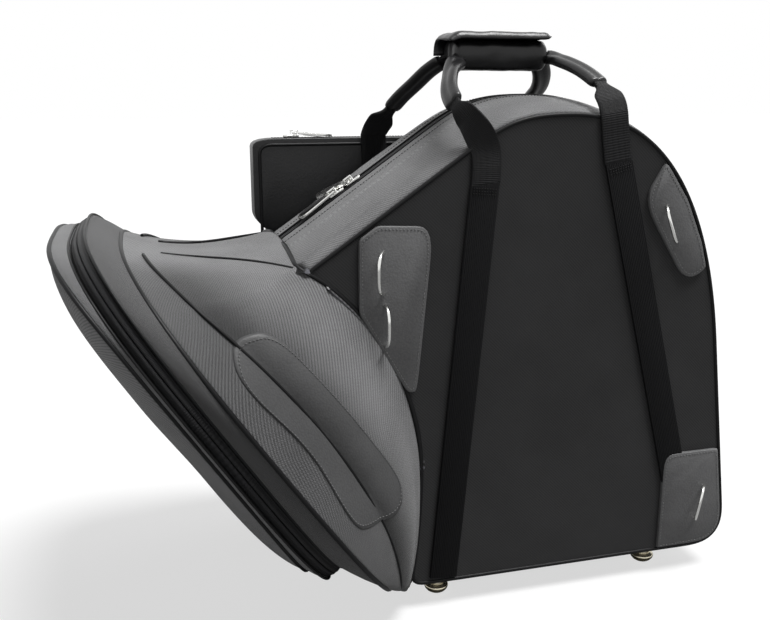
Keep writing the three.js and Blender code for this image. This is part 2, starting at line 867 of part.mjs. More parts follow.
function ringSlot(at) {
  const tall = ringLong / 2 + ringWire;
  const slot = block([-ringSlotHalf, -bodyWidth, -tall], [ringSlotHalf, bodyWidth, tall]);
  return slot.rotate([0, -at.lean, 0]).translate([at.x, 0, at.z]);
}

function closedShape(corners, pull) {
  const shape = new THREE.Shape();
  const middle = (a, b) => [a[0] + (b[0] - a[0]) * pull, a[1] + (b[1] - a[1]) * pull];
  corners.forEach((corner, i) => {
    const before = corners[(i + corners.length - 1) % corners.length];
    const after = corners[(i + 1) % corners.length];
    const from = middle(corner, before);
    const to = middle(corner, after);
    if (i === 0) {
      shape.moveTo(...from);
    } else {
      shape.lineTo(...from);
    }
    shape.quadraticCurveTo(...corner, ...to);
  });
  return shape;
}

// Corners of the patches, as shares of the length and height of each
const patchFrontShares = [[0, 1], [1, 0.98], [0.79, 0], [0.66, 0], [0, 0.433]];
const patchUpperShares = [[0.23, 1], [0, 0.64], [0.434, 0], [1, 0.525], [1, 1]];
const patchLowerShares = [[0, 0], [0, 1], [1, 1], [1, 0]];
const patchWearShares = [
  [0, 0.969], [0.015, 0.804], [0.396, 0.451], [0.615, 0.086], [0.704, 0],
  [0.993, 0.018], [1, 0.166], [0.619, 0.623], [0.23, 1],
];
const patchFrontPullShare = 0.2;
const patchUpperPullShare = 0.25;
const patchLowerPullShare = 0.12;
const patchWearPullShare = 0.4;

function patchShape(shares, pull, x, low, long, high) {
  return closedShape(shares.map(([along, up]) => [x + long * along, low + high * up]), pull);
}

const panelEdgeSolid = loft([bodyLoop(-half * 2, panelEdge, 0), bodyLoop(half, panelEdge, 0)]);

function flatPatch(shape, rings) {
  let patch = slabY(shape, patchFace, patchBack, 5).intersect(panelEdgeSolid).intersect(bodySide);
  rings.forEach((name) => {
    patch = patch.subtract(ringSlot(ringPlaces[name]));
  });
  return patch;
}

function patchFront() {
  const shape = patchShape(
    patchFrontShares, patchFrontPullShare, patchFrontX, patchFrontLow, patchFrontLong, patchFrontHigh,
  );
  return flatPatch(shape, ['ring_front_upper', 'ring_front_lower']);
}

function patchRearUpper() {
  const shape = patchShape(
    patchUpperShares, patchUpperPullShare, patchUpperX, patchUpperLow, bodyHeelX - patchUpperX, patchUpperHigh,
  );
  return flatPatch(shape, ['ring_rear_upper']);
}

// The lower patch is raised over the end of the rear strap
function patchRearLower() {
  const long = bodyHeelX + wall - patchLowerX;
  const shape = patchShape(patchLowerShares, patchLowerPullShare, patchLowerX, 0, long, patchLowerTop);
  const corridor = (grow) => strapBlank(-1, strapRearFootX, strapRearTopX, barRearZ, grow, strapTuckZ);
  const raised = slabY(shape, -strapY - webThick / 2 - gap - patchThick, patchBack, 5)
    .intersect(corridor(gap + patchThick)).intersect(panelEdgeSolid);
  return flatPatch(shape, ['ring_rear_lower']).add(raised).subtract(corridor(gap));
}

// The wear patch follows the swell of the flare
function patchFlare(side) {
  const shape = patchShape(
    patchWearShares, patchWearPullShare, patchWearX, patchWearLow, patchWearLong, patchWearHigh,
  );
  const skin = flareSolid(-gap - patchThick, -gap / 2, overrun).subtract(flareSolid(-gap, -gap / 2, overrun));
  const cut = slabY(shape, side < 0 ? -bodyWidth * 2 : bodyWidth / 4, side < 0 ? -bodyWidth / 4 : bodyWidth * 2, 4);
  return skin.intersect(cut).subtract(behindSeam(gap + patchThick));
}

function ringCurve() {
  const points = [];
  const steps = 26;
  for (let i = 0; i < steps; i += 1) {
    const angle = 2 * Math.PI * i / steps;
    const c = Math.cos(angle);
    const s = Math.sin(angle);
    const along = ringLong / 2 * Math.sign(c) * Math.abs(c) ** ringEndPower;
    const out = s > 0 ? ringDeep * s ** ringSidePower : 0;
    points.push(new THREE.Vector3(0, -out, along));
  }
  return points;
}

function ringSolid() {
  const path = ringCurve();
  const loops = [];
  for (let k = 0; k < 6; k += 1) {
    const turn = 2 * Math.PI * k / 6;
    loops.push(path.map((point, i) => {
      const before = path[(i + path.length - 1) % path.length];
      const after = path[(i + 1) % path.length];
      const way = after.clone().sub(before).normalize();
      const aside = new THREE.Vector3(1, 0, 0);
      const out = new THREE.Vector3().crossVectors(way, aside);
      return point.clone()
        .addScaledVector(aside, Math.cos(turn) * ringWire / 2)
        .addScaledVector(out, Math.sin(turn) * ringWire / 2);
    }));
  }
  return hoop(loops);
}

// Zipper sliders and pulls, drawn flat: X along the zipper, Z away from the fabric

const sliderBase = toothTop + gap;
const sliderTop = sliderBase + sliderThick;
const axleLift = pullThick / 2 + pullLift;
const axleZ = sliderTop + axleLift;
const axleX = -sliderLong / 2 + bridgeBar + bridgeLong / 2;
const sliderTailShare = 0.3;
const sliderWaistShare = 0.36;

function slider() {
  const end = sliderLong / 2;
  const wide = sliderWide / 2;
  const shoulder = sliderLong * sliderTailShare;
  const shape = new THREE.Shape();
  shape.moveTo(-end, -sliderWide * sliderTailShare);
  shape.quadraticCurveTo(0, -sliderWide * sliderWaistShare, shoulder, -wide);
  shape.quadraticCurveTo(end, -wide, end, 0);
  shape.quadraticCurveTo(end, wide, shoulder, wide);
  shape.quadraticCurveTo(0, sliderWide * sliderWaistShare, -end, sliderWide * sliderTailShare);
  const geometry = new THREE.ExtrudeGeometry(shape, { depth: sliderThick, bevelEnabled: false, curveSegments: 4 });
  geometry.translate(0, 0, sliderBase);
  const low = axleX - bridgeLong / 2;
  const high = axleX + bridgeLong / 2;
  const roof = sliderTop + axleLift * 2;
  const bridge = block(
    [low - bridgeBar, -bridgeWide / 2, sliderTop - sliderThick / 2],
    [high + bridgeBar, bridgeWide / 2, roof + bridgeBar],
  );
  const hollow = block([low, -bridgeWide, sliderTop], [high, bridgeWide, roof]);
  return solidFromGeometry(geometry).add(bridge.subtract(hollow));
}

// The pull is a drop with an eye; the bar at its end lies under the bridge of the slider
function pull() {
  const bar = pullThick / 2;
  const neck = pullEyeHalf + pullArm;
  const round = pullWide / 2;
  const eyeEnd = bridgeLong / 2 + bridgeBar + axleLift;
  const shape = new THREE.Shape();
  shape.moveTo(bar, -neck);
  shape.lineTo(-eyeEnd, -neck);
  shape.quadraticCurveTo(-pullLong / 2, -round, -pullLong + round, -round);
  shape.absarc(-pullLong + round, 0, round, -Math.PI / 2, Math.PI / 2, true);
  shape.quadraticCurveTo(-pullLong / 2, round, -eyeEnd, neck);
  shape.lineTo(bar, neck);
  const eye = new THREE.Path();
  eye.moveTo(-bar, -pullEyeHalf);
  eye.lineTo(-bar, pullEyeHalf);
  eye.lineTo(-eyeEnd, pullEyeHalf);
  eye.lineTo(-eyeEnd, -pullEyeHalf);
  shape.holes.push(eye);
  const geometry = new THREE.ExtrudeGeometry(shape, { depth: pullThick, bevelEnabled: false, curveSegments: 5 });
  geometry.translate(0, 0, -pullThick / 2);
  return solidFromGeometry(geometry);
}

// Music pocket: a flat box open along its top, cut to the seam at its front

const pocketBack = half + gap * 2 + webThick;

function pocketCorners() {
  const right = pocketFrontX + pocketLong;
  const low = pocketTop - pocketHigh;
  const clear = pocketDeep / 2;
  const knee = seam.getPoint(pocketKneeShare);
  return [
    [pocketFrontX, pocketTop],
    [right, pocketTop],
    [right, low],
    [seamBulgeX + clear * 2, low],
    [seamBulgeX + clear, seamBulgeZ],
    [knee.x + clear, knee.y + clear / 2],
    [pocketFrontX, seamTopZ + clear],
  ];
}

// Moves every corner of an outline inwards; the corners run clockwise
function insetCorners(corners, inset) {
  return corners.map((corner, i) => {
    const before = new THREE.Vector2(...corners[(i + corners.length - 1) % corners.length]);
    const here = new THREE.Vector2(...corner);
    const after = new THREE.Vector2(...corners[(i + 1) % corners.length]);
    const a = here.clone().sub(before).normalize();
    const b = after.sub(here).normalize();
    const inward = new THREE.Vector2(a.y + b.y, -a.x - b.x).normalize();
    const reach = inset / Math.max(mitreShare, inward.dot(new THREE.Vector2(b.y, -b.x)));
    return here.addScaledVector(inward, reach).toArray();
  });
}

const pocketPull = 0.1;
const pocketSlotFront = pocketFrontX + pocketRadius;
const pocketSlotRear = pocketFrontX + pocketLong - pocketRadius;
const pocketMiddleY = pocketBack + pocketDeep / 2;

function pocketShell() {
  const corners = pocketCorners();
  const outer = slabY(closedShape(corners, pocketPull), pocketBack, pocketBack + pocketDeep, 5);
  const inner = slabY(
    closedShape(insetCorners(corners, pocketSkin), pocketPull),
    pocketBack + pocketSkin, pocketBack + pocketDeep - pocketSkin, 5,
  );
  const slot = block(
    [pocketSlotFront, pocketMiddleY - pocketMouth / 2, pocketTop - pocketSkin * 2],
    [pocketSlotRear, pocketMiddleY + pocketMouth / 2, pocketTop + overrun],
  );
  return outer.subtract(inner).subtract(slot);
}

function pocketZip() {
  return block(
    [pocketSlotFront + gap, pocketMiddleY - pocketMouth / 2 + gap, pocketTop - tapeThick],
    [pocketSlotRear - gap, pocketMiddleY + pocketMouth / 2 - gap, pocketTop + toothTop],
  );
}

// Skids, feet, base board and padding

function skid(atX) {
  return block(
    [atX - skidLong / 2, -half + wall, bodyBottom - gap - skidThick],
    [atX + skidLong / 2, half - wall, bodyBottom - gap],
  );
}

function foot() {
  const top = bodyBottom - gap * 2 - skidThick;
  const profile = footDomeShares.map(([out, up]) => new THREE.Vector2(footRadius * out, footDome * up));
  profile.push(
    new THREE.Vector2(footNeck, footDome * footWaistShare),
    new THREE.Vector2(footNeck, top),
    new THREE.Vector2(0, top),
  );
  const geometry = new THREE.LatheGeometry(profile, 16);
  geometry.rotateX(Math.PI / 2);
  return solidFromGeometry(geometry);
}

const boardBottom = bodyBottom + wall + gap;
const boardTop = boardBottom + boardThick;
const roomSolid = bodySolid(wall + gap);

function baseBoard() {
  const side = half - wall * 1.5;
  return block([seamBulgeX + wall, -side, boardBottom], [cradleRearX + wall * 2, side, boardTop]);
}

function cradlePad() {
  const low = boardTop + gap;
  const high = low + cradleHigh;
  const middle = (cradleFrontX + cradleRearX) / 2;
  const shape = new THREE.Shape();
  shape.moveTo(cradleFrontX, low);
  shape.lineTo(cradleFrontX, high);
  shape.quadraticCurveTo(middle, high - cradleHollow * 2, cradleRearX, high);
  shape.lineTo(cradleRearX, low);
  const side = half - wall - padThick;
  return slabY(shape, -side, side, 8);
}

function rearPad() {
  const side = half - wall - padThick - edgeRound * 2;
  const low = [bodyTopX, -side, boardTop + cradleHigh + wall];
  const high = [bodyHeelX, side, bodyBackZ + padThick * 4];
  return roomSolid.subtract(bodySolid(wall + gap + padThick)).intersect(block(low, high));
}

// Assembly

function material(color, roughness, metalness = 0) {
  return new THREE.MeshStandardMaterial({ color, roughness, metalness });
}

const looks = {
  panel: [0x2b2b2d, 0.86],
  top: [0x4a4a4b, 0.82],
  dark: [0x1c1c1e, 0.88],
  tape: [0x121213, 0.9],
  web: [0x161617, 0.8],
  leather: [0x3c3c3d, 0.55],
  glossLeather: [0x101011, 0.38],
  foam: [0x3a3a3e, 0.95],
  board: [0x6d5a44, 0.8],
  nickel: [0xc9c9c6, 0.25, 1],
  brass: [0xc9b98a, 0.3, 1],
};

const horn = new THREE.Group();

function put(name, solid, look, place = null) {
  const mesh = new THREE.Mesh(geometryOf(solid), material(...looks[look]));
  mesh.name = name;
  if (place) {
    mesh.position.setFromMatrixPosition(place);
    mesh.rotation.setFromRotationMatrix(place);
  }
  horn.add(mesh);
}

function geometryOf(solid) {
  const mesh = solid.getMesh();
  const geometry = new THREE.BufferGeometry();
  geometry.setAttribute('position', new THREE.BufferAttribute(mesh.vertProperties, 3));
  geometry.setIndex(new THREE.BufferAttribute(mesh.triVerts, 1));
  geometry.computeVertexNormals();
  return geometry;
}

const sides = { near: -1, far: 1 };

Object.entries(sides).forEach(([name, side]) => {
  put(`side_panel_${name}`, sidePanel(side, 0).intersect(bodySide), 'panel');
  put(`gusset_${name}`, gusset(side), 'top');
  put(`flare_flank_${name}`, flareFlank(side), 'top');
  put(`flare_lower_${name}`, flareLower(side), 'panel');
  put(`flare_wear_patch_${name}`, patchFlare(side), 'leather');
  put(`main_zip_${name}`, mainZip(side), 'tape');
  put(`strap_front_${name}`, strapFront(side), 'web');
  put(`strap_rear_${name}`, strapRear(side), 'web');
  put(`handle_loop_${name}`, handleLoop(side), 'web');
  put(`sleeve_front_${name}`, sleeve(side, true), 'glossLeather');
  put(`sleeve_rear_${name}`, sleeve(side, false), 'glossLeather');
  put(`grip_pad_${name}`, gripPad(side), 'glossLeather');
});

put('bottom_panel', bottomPanel, 'dark');
put('flare_top', flareTop, 'top');
put('rim_band', rimBand, 'panel');
put('rim_zip_body', rimZip(-1), 'tape');
put('rim_zip_lid', rimZip(1), 'tape');
put('lid_band', lidBand, 'panel');
put('lid_face', lidFace, 'panel');
put('lid_pad', lidPad, 'foam');
put('grip_flap', gripFlap(), 'glossLeather');
put('patch_front', patchFront(), 'leather');
put('patch_rear_upper', patchRearUpper(), 'leather');
put('patch_rear_lower', patchRearLower(), 'leather');
put('pocket_shell', pocketShell(), 'glossLeather');
put('pocket_zip', pocketZip(), 'tape');
put('base_board', baseBoard(), 'board');
put('cradle_pad', cradlePad(), 'foam');
put('rear_pad', rearPad(), 'foam');
put('skid_front', skid(footFrontX), 'leather');
put('skid_rear', skid(footRearX), 'leather');

Object.entries(ringPlaces).forEach(([name, at]) => {
  const place = new THREE.Matrix4().makeRotationY(-radians(at.lean))
    .multiply(new THREE.Matrix4().makeRotationZ(radians(at.rest)))
    .setPosition(at.x, ringY, at.z);
  put(name, ringSolid(), 'nickel', place);
});

[['front', footFrontX], ['rear', footRearX]].forEach(([place, x]) => {
  Object.entries(sides).forEach(([name, side]) => {
    put(`foot_${place}_${name}`, foot(), 'brass', new THREE.Matrix4().setPosition(x, side * footY, 0));
  });
});

// Sliders stand on the slope of the top, the far side of the rim and the pocket

function slopePlace(along) {
  const crest = slopeEnd.clone()
    .addScaledVector(slopeWay, -along)
    .addScaledVector(slopeNormal, gussetCrown);
  return new THREE.Matrix4().makeRotationY(-radians(bodySlopeAngle)).setPosition(crest.x, 0, crest.y);
}

function rimPlace() {
  const tilt = radians(zipRing.tilt);
  const along = new THREE.Vector3(-Math.sin(tilt), 0, Math.cos(tilt));
  const out = new THREE.Vector3(0, 1, 0);
  const across = new THREE.Vector3().crossVectors(out, along);
  return new THREE.Matrix4().makeBasis(along, across, out)
    .setPosition(new THREE.Vector3(zipRing.x, zipRing.side, zipRing.z).addScaledVector(along, -rimSliderDrop));
}

function pocketPlace() {
  return new THREE.Matrix4().makeRotationZ(Math.PI)
    .setPosition(pocketSlotFront + sliderLong, pocketMiddleY, pocketTop);
}

function putSlider(name, place, splay = 0, droop = 0) {
  put(`slider_${name}`, slider(), 'nickel', place);
  const swing = new THREE.Matrix4().makeRotationZ(radians(splay))
    .multiply(new THREE.Matrix4().makeRotationY(-radians(droop)))
    .setPosition(axleX, 0, axleZ);
  put(`pull_${name}`, pull(), 'nickel', place.clone().multiply(swing));
}

putSlider('upper', slopePlace(sliderUpperAlong), pullUpperSplay);
putSlider('lower', slopePlace(sliderLowerAlong), pullLowerSplay);
putSlider('rim', rimPlace());
putSlider('pocket', pocketPlace(), 0, pullDroop);

// The origin lies under the middle of the whole, on the floor
const whole = new THREE.Box3().setFromObject(horn);
horn.position.x = -(whole.min.x + whole.max.x) / 2;

export default horn;
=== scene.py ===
"""French horn case with a fixed bell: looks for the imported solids.

Run as a script. Each operator makes one group of pieces of the case, in metres.
"""

import json
import math

import bmesh
import bpy
from mathutils import Matrix, Vector, noise
from mathutils.bvhtree import BVHTree


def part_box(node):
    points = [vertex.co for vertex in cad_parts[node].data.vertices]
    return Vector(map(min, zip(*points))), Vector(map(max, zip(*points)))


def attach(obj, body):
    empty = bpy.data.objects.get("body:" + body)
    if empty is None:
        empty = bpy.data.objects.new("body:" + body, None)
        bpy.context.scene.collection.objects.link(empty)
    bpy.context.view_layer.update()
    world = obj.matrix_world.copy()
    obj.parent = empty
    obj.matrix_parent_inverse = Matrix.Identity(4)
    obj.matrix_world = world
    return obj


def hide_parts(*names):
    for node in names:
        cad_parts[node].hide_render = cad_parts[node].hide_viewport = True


bl_info = {
    "name": "French Horn Case",
    "version": (1, 0, 0),
    "blender": (4, 5, 0),
    "location": "View3D > Sidebar > Horn Case",
    "description": "Fabric, leather, zippers and metalwork for a fixed-bell horn case",
    "category": "Object",
}

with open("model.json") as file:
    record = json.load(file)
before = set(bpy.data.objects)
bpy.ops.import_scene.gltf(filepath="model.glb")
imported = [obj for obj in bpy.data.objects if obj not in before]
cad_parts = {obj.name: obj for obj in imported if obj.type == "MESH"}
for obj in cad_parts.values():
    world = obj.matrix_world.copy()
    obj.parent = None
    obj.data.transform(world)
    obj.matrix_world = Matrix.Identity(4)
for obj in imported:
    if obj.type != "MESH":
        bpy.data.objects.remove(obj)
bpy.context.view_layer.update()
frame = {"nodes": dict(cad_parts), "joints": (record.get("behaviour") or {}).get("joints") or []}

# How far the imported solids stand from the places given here, found on a foot

FOOT_FRONT_X = 0.040
FOOT_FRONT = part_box("foot_front_near")
SHIFT = (FOOT_FRONT[0].x + FOOT_FRONT[1].x) / 2 - FOOT_FRONT_X

# Sizes shared with the solids, in metres

HALF = 0.095
BOTTOM = 0.022
BOTTOM_FRONT_X = -0.045
WALL = 0.012
GAP = 0.0003
COVER_THICK = WALL - 0.001
GUSSET_HALF = 0.0925
TOP = Vector((0.145, 0.429))
SLOPE_END = Vector((0.050, 0.398))
SLOPE = math.radians(34.9)
SLOPE_LONG = 0.205
SLOPE_WAY = Vector((math.cos(SLOPE), math.sin(SLOPE)))
SLOPE_NORMAL = Vector((-SLOPE_WAY.y, SLOPE_WAY.x))
SHOULDER_PULL = 0.045
ARCH_PULL = 0.090
BACK_PULL = 0.122
BACK = Vector((0.298, 0.226))
HEEL = Vector((0.326, 0.022))
HEEL_SEAM_Z = 0.0505
HEEL_RADIUS = 0.038
CROWN = 0.014
CROWN_FADE_Z = 0.150
PANEL_EDGE = 0.004

SEAM_TOP = Vector((-0.086, 0.312))
SEAM_BULGE = Vector((0.017, 0.130))
SEAM_FOOT = Vector((0.008, 0.022))

ZIP_RING = {
    "x": -0.151, "z": 0.190, "tilt": math.radians(34),
    "up": 0.177, "down": 0.174, "side": 0.169, "power": 3.4,
}
START_RING = {
    "x": -0.106, "z": 0.166, "tilt": math.radians(35),
    "up": 0.195, "down": 0.176, "side": 0.177, "power": 3.0,
}
RING_TURNS = [step / 150 for step in range(150)]
LID_SLIDE = 0.012
LID_INSET = 0.005
LID_DEPTH = 0.012
LID_DEPTH_ENDS = 0.008
LID_DOME = 0.030
FLARE_BULGE = 0.005
NECK_DIP = 0.009

ZIP_HALF = 0.007
ZIP_END_Z = 0.112
WEB_WIDE = 0.025
WEB_THICK = 0.0026
STRAP_Y = HALF + GAP + WEB_THICK / 2
STRAP_FRONT_TOP_X = 0.068
STRAP_REAR_TOP_X = 0.187
BAR_FRONT_Z = 0.374
BAR_REAR_Z = 0.389
FRONT_LEAN = 5.0
FRONT_FAR_LEAN = -1.8
REAR_LEAN = -14.8
FAR_ROOT_FRONT_X = 0.026
FAR_ROOT_FRONT_Z = 0.405
FAR_ROOT_REAR_Z = 0.409
HANDLE_LEAN = 0.020
WRAP_FRONT_X = 0.070
WRAP_REAR_X = 0.156
WRAP_Z = 0.477
WRAP_HIGH = 0.026
WRAP_HALF = 0.018
WRAP_TURN = WRAP_HIGH * 0.4
FLAP_THICK = 0.005

# Rings: place in X and Z, lean of the patch and swing at rest, in degrees

RINGS = {
    "ring_front_upper": (-0.016, 0.3055, 0, -32),
    "ring_front_lower": (-0.016, 0.262, 0, 0),
    "ring_rear_upper": (0.242, 0.3355, 21.5, -33),
    "ring_rear_lower": (0.2943, 0.0674, -11, -36),
}
RING_LONG = 0.034
RING_DEEP = 0.015
RING_WIRE = 0.003

# Bodies and sides

BODY = "case"
LID = "bell_lid"
SIDES = {"near": -1, "far": 1}


# Settings that a user would change


class HornSizes(bpy.types.PropertyGroup):
    """Sizes of the trim on the case"""

    piping: bpy.props.FloatProperty(
        name="Piping", description="Radius of the piping along the panel edges", default=0.0019, unit="LENGTH"
    )
    welt: bpy.props.FloatProperty(
        name="Welt", description="Radius of the welts across the flare", default=0.0013, unit="LENGTH"
    )
    thread: bpy.props.FloatProperty(
        name="Thread", description="Radius of the sewing thread", default=0.0004, unit="LENGTH"
    )
    stitch: bpy.props.FloatProperty(
        name="Stitch", description="Distance from one stitch to the next", default=0.003, unit="LENGTH"
    )
    weave: bpy.props.FloatProperty(
        name="Weave", description="Width of one thread of the outer fabric", default=0.00085, unit="LENGTH"
    )
    dents: bpy.props.FloatProperty(
        name="Dents", description="Depth of the soft dents in the padded walls", default=0.0022, unit="LENGTH"
    )


class HornColours(bpy.types.PropertyGroup):
    """Colours of the materials of the case"""

    panel: bpy.props.FloatVectorProperty(
        name="Fabric", description="Outer fabric", default=(0.155, 0.155, 0.158), subtype="COLOR"
    )
    webbing: bpy.props.FloatVectorProperty(
        name="Webbing", description="Straps and handle loops",
        default=(0.0055, 0.0055, 0.006), subtype="COLOR",
    )
    leather: bpy.props.FloatVectorProperty(
        name="Leather", description="Patches on the side and the flare",
        default=(0.14, 0.14, 0.142), subtype="COLOR",
    )
    gloss: bpy.props.FloatVectorProperty(
        name="Grip leather", description="Grip, sleeves and pocket",
        default=(0.010, 0.010, 0.011), subtype="COLOR",
    )
    tape: bpy.props.FloatVectorProperty(
        name="Zipper tape", description="Tape and coil of the zippers",
        default=(0.014, 0.014, 0.015), subtype="COLOR",
    )
    piping: bpy.props.FloatVectorProperty(
        name="Piping", description="Piping and welts", default=(0.004, 0.004, 0.0045), subtype="COLOR"
    )
    thread: bpy.props.FloatVectorProperty(
        name="Thread", description="Stitching on the leather", default=(0.19, 0.19, 0.19), subtype="COLOR"
    )
    nickel: bpy.props.FloatVectorProperty(
        name="Nickel", description="Rings, sliders and pulls", default=(0.82, 0.82, 0.80), subtype="COLOR"
    )
    brass: bpy.props.FloatVectorProperty(
        name="Pale brass", description="Feet", default=(0.80, 0.74, 0.58), subtype="COLOR"
    )
    skid: bpy.props.FloatVectorProperty(
        name="Skids", description="Strips under the bottom", default=(0.22, 0.22, 0.22), subtype="COLOR"
    )
    plush: bpy.props.FloatVectorProperty(
        name="Lining", description="Plush lining and pads", default=(0.10, 0.10, 0.115), subtype="COLOR"
    )
    floor: bpy.props.FloatVectorProperty(
        name="Floor", description="Plain pale floor", default=(0.32, 0.32, 0.32), subtype="COLOR"
    )


class HornStage(bpy.types.PropertyGroup):
    """Light and camera"""

    key: bpy.props.FloatProperty(
        name="Key", description="Strength of the wide light from above", default=4.0
    )
    fill: bpy.props.FloatProperty(
        name="Fill", description="Strength of the light all round", default=0.07
    )
    glow: bpy.props.FloatProperty(
        name="Glow", description="Brightening of the floor where the camera sees it", default=0.66
    )
    lens: bpy.props.FloatProperty(
        name="Lens", description="Focal length of the camera in mm", default=42.08
    )


def trim_sizes():
    """The sizes as the user has set them"""
    return bpy.context.scene.horn_sizes


# Shader maths


class Wire:
    """The output of a shader node; arithmetic on it adds Math nodes"""

    def __init__(self, board, socket):
        self.board = board
        self.socket = socket

    def join(self, operation, first, second=0.0):
        return self.board.node("ShaderNodeMath", {"operation": operation}, {0: first, 1: second})

    def __add__(self, other):
        return self.join("ADD", self, other)

    __radd__ = __add__

    def __sub__(self, other):
        return self.join("SUBTRACT", self, other)

    def __rsub__(self, other):
        return self.join("SUBTRACT", other, self)

    def __mul__(self, other):
        return self.join("MULTIPLY", self, other)

    __rmul__ = __mul__

    def __truediv__(self, other):
        return self.join("DIVIDE", self, other)

    def __gt__(self, other):
        return self.join("GREATER_THAN", self, other)

    def sine(self):
        return self.join("SINE", self)

    def size(self):
        return self.join("ABSOLUTE", self)

    def floor(self):
        return self.join("FLOOR", self)


class Board:
    """One material with its nodes"""

    def __init__(self, name):
        self.material = bpy.data.materials.new(name)
        self.material.use_nodes = True
        self.tree = self.material.node_tree
        self.shader = self.tree.nodes["Principled BSDF"]

    def node(self, kind, settings=None, inputs=None, take=0):
        """A node with its settings and inputs; take names the output or outputs wanted"""
        made = self.tree.nodes.new(kind)
        for key, value in (settings or {}).items():
            setattr(made, key, value)
        for key, value in (inputs or {}).items():
            if isinstance(value, Wire):
                self.tree.links.new(value.socket, made.inputs[key])
            else:
                made.inputs[key].default_value = value
        if isinstance(take, tuple):
            return [Wire(self, made.outputs[key]) for key in take]
        return Wire(self, made.outputs[take])

    def place(self, turn=(0.0, 0.0, 0.0)):
        """Object coordinates, turned so that a pattern follows a piece"""
        where = self.node("ShaderNodeTexCoord", take="Object")
        return self.node("ShaderNodeMapping", None, {"Vector": where, "Rotation": turn})

    def cloud(self, where, scale, detail):
        inputs = {"Vector": where, "Scale": scale, "Detail": detail}
        return self.node("ShaderNodeTexNoise", None, inputs, "Fac")

    def apart(self, where, take):
        """Single coordinates of a place"""
        return self.node("ShaderNodeSeparateXYZ", None, {0: where}, take)

    def on_map(self):
        """Coordinates across and along the piece's own map"""
        return self.apart(self.node("ShaderNodeTexCoord", take="UV"), ("X", "Y"))

    def blend(self, share, first, second):
        """A colour between two colours"""
        return self.node(
            "ShaderNodeMix",
            {"data_type": "RGBA"},
            {"Factor": share, 6: (*first, 1.0), 7: (*second, 1.0)},
            2,
        )

    def finish(self, colour, roughness, height=None, metal=0.0, **steady):
        """Feeds the shader; height is in metres"""
        links = {"Base Color": colour, "Roughness": roughness, "Metallic": metal}
        if height is not None:
            bump = {"Strength": 1.0, "Distance": 1.0, "Height": height}
            links["Normal"] = self.node("ShaderNodeBump", None, bump)
        for key, value in links.items():
            if isinstance(value, Wire):
                self.tree.links.new(value.socket, self.shader.inputs[key])
            else:
                self.shader.inputs[key].default_value = value
        for key, value in steady.items():
            self.shader.inputs[key.replace("_", " ").title().replace("Ior", "IOR")].default_value = value
        return self.material


def shade(colour, share):
    """A darker or paler tone of a colour"""
    return tuple(channel * share for channel in colour)


def woven(name, colour, pitch, on_map, dents, relief=1.0, roughness=0.72, sheen=0.25):
    """Closely woven nylon: threads over and under each other, soft dents, and painted shade where a piece's
    dark attribute marks it
    """
    board = Board(name)
    where = board.place()
    across, along = board.on_map() if on_map else board.apart(where, ("X", "Z"))
    across = across / pitch
    along = along / pitch
    warp = (across * math.pi).sine().size()
    weft = (along * math.pi).sine().size()
    steps = across.floor() + along.floor()
    over = (steps * (math.pi / 2) + math.pi / 4).sine() > 0.0
    threads = over * warp + (1.0 - over) * weft
    broad = board.cloud(where, scale=9.0, detail=3.0)
    fine = board.cloud(where, scale=900.0, detail=1.0)
    height = threads * (pitch * 0.16 * relief) + broad * dents + fine * (pitch * 0.05)
    # Painted shade: the dark attribute darkens the cloth where it marks shade
    painted_shade = board.node("ShaderNodeAttribute", {"attribute_name": "dark"}, take="Fac")
    soiled = board.cloud(where, scale=26.0, detail=4.0)
    tone = over * 0.4 + threads * 0.25 + soiled * 0.35 + (broad - 0.5) * 0.5
    tone = tone * (1.0 - painted_shade)
    paint = board.blend(tone, shade(colour, 1 - 0.7 * relief), shade(colour, 1 + 0.7 * relief))
    return board.finish(
        paint,
        roughness + 0.18 * (fine - 0.5),
        height,
        sheen_weight=sheen,
        sheen_roughness=0.45,
        specular_ior_level=0.3 * relief,
    )


def ribbed(name, colour, turn, pitch):
    """Webbing: close ribs along it, crossed by a finer weave"""
    board = Board(name)
    where = board.place(turn)
    across, along = board.apart(where, ("X", "Z"))
    ribs = (across * (math.pi / pitch)).sine().size()
    picks = (along * (math.pi / (pitch * 0.6))).sine().size()
    fine = board.cloud(where, scale=700.0, detail=2.0)
    height = ribs * 0.0004 + picks * 0.00015
    paint = board.blend(ribs * 0.5 + picks * 0.2 + fine * 0.4, shade(colour, 0.45), shade(colour, 1.8))
    return board.finish(paint, 0.62 + 0.2 * fine, height, specular_ior_level=0.12)


def ribbed_on_map(name, colour, pitch, depth, roughness=0.6):
    """Webbing or zipper coil on a piece with its own map: ribs across its length"""
    board = Board(name)
    across, along = board.on_map()
    picks = (along * (math.pi / pitch)).sine().size()
    ribs = (across * (math.pi / (pitch * 1.1))).sine().size()
    fine = board.cloud(board.place(), scale=700.0, detail=2.0)
    paint = board.blend(picks * 0.6 + ribs * 0.2 + fine * 0.2, shade(colour, 0.4), shade(colour, 1.9))
    height = picks * depth + ribs * (depth * 0.5)
    return board.finish(paint, roughness, height, specular_ior_level=0.2)


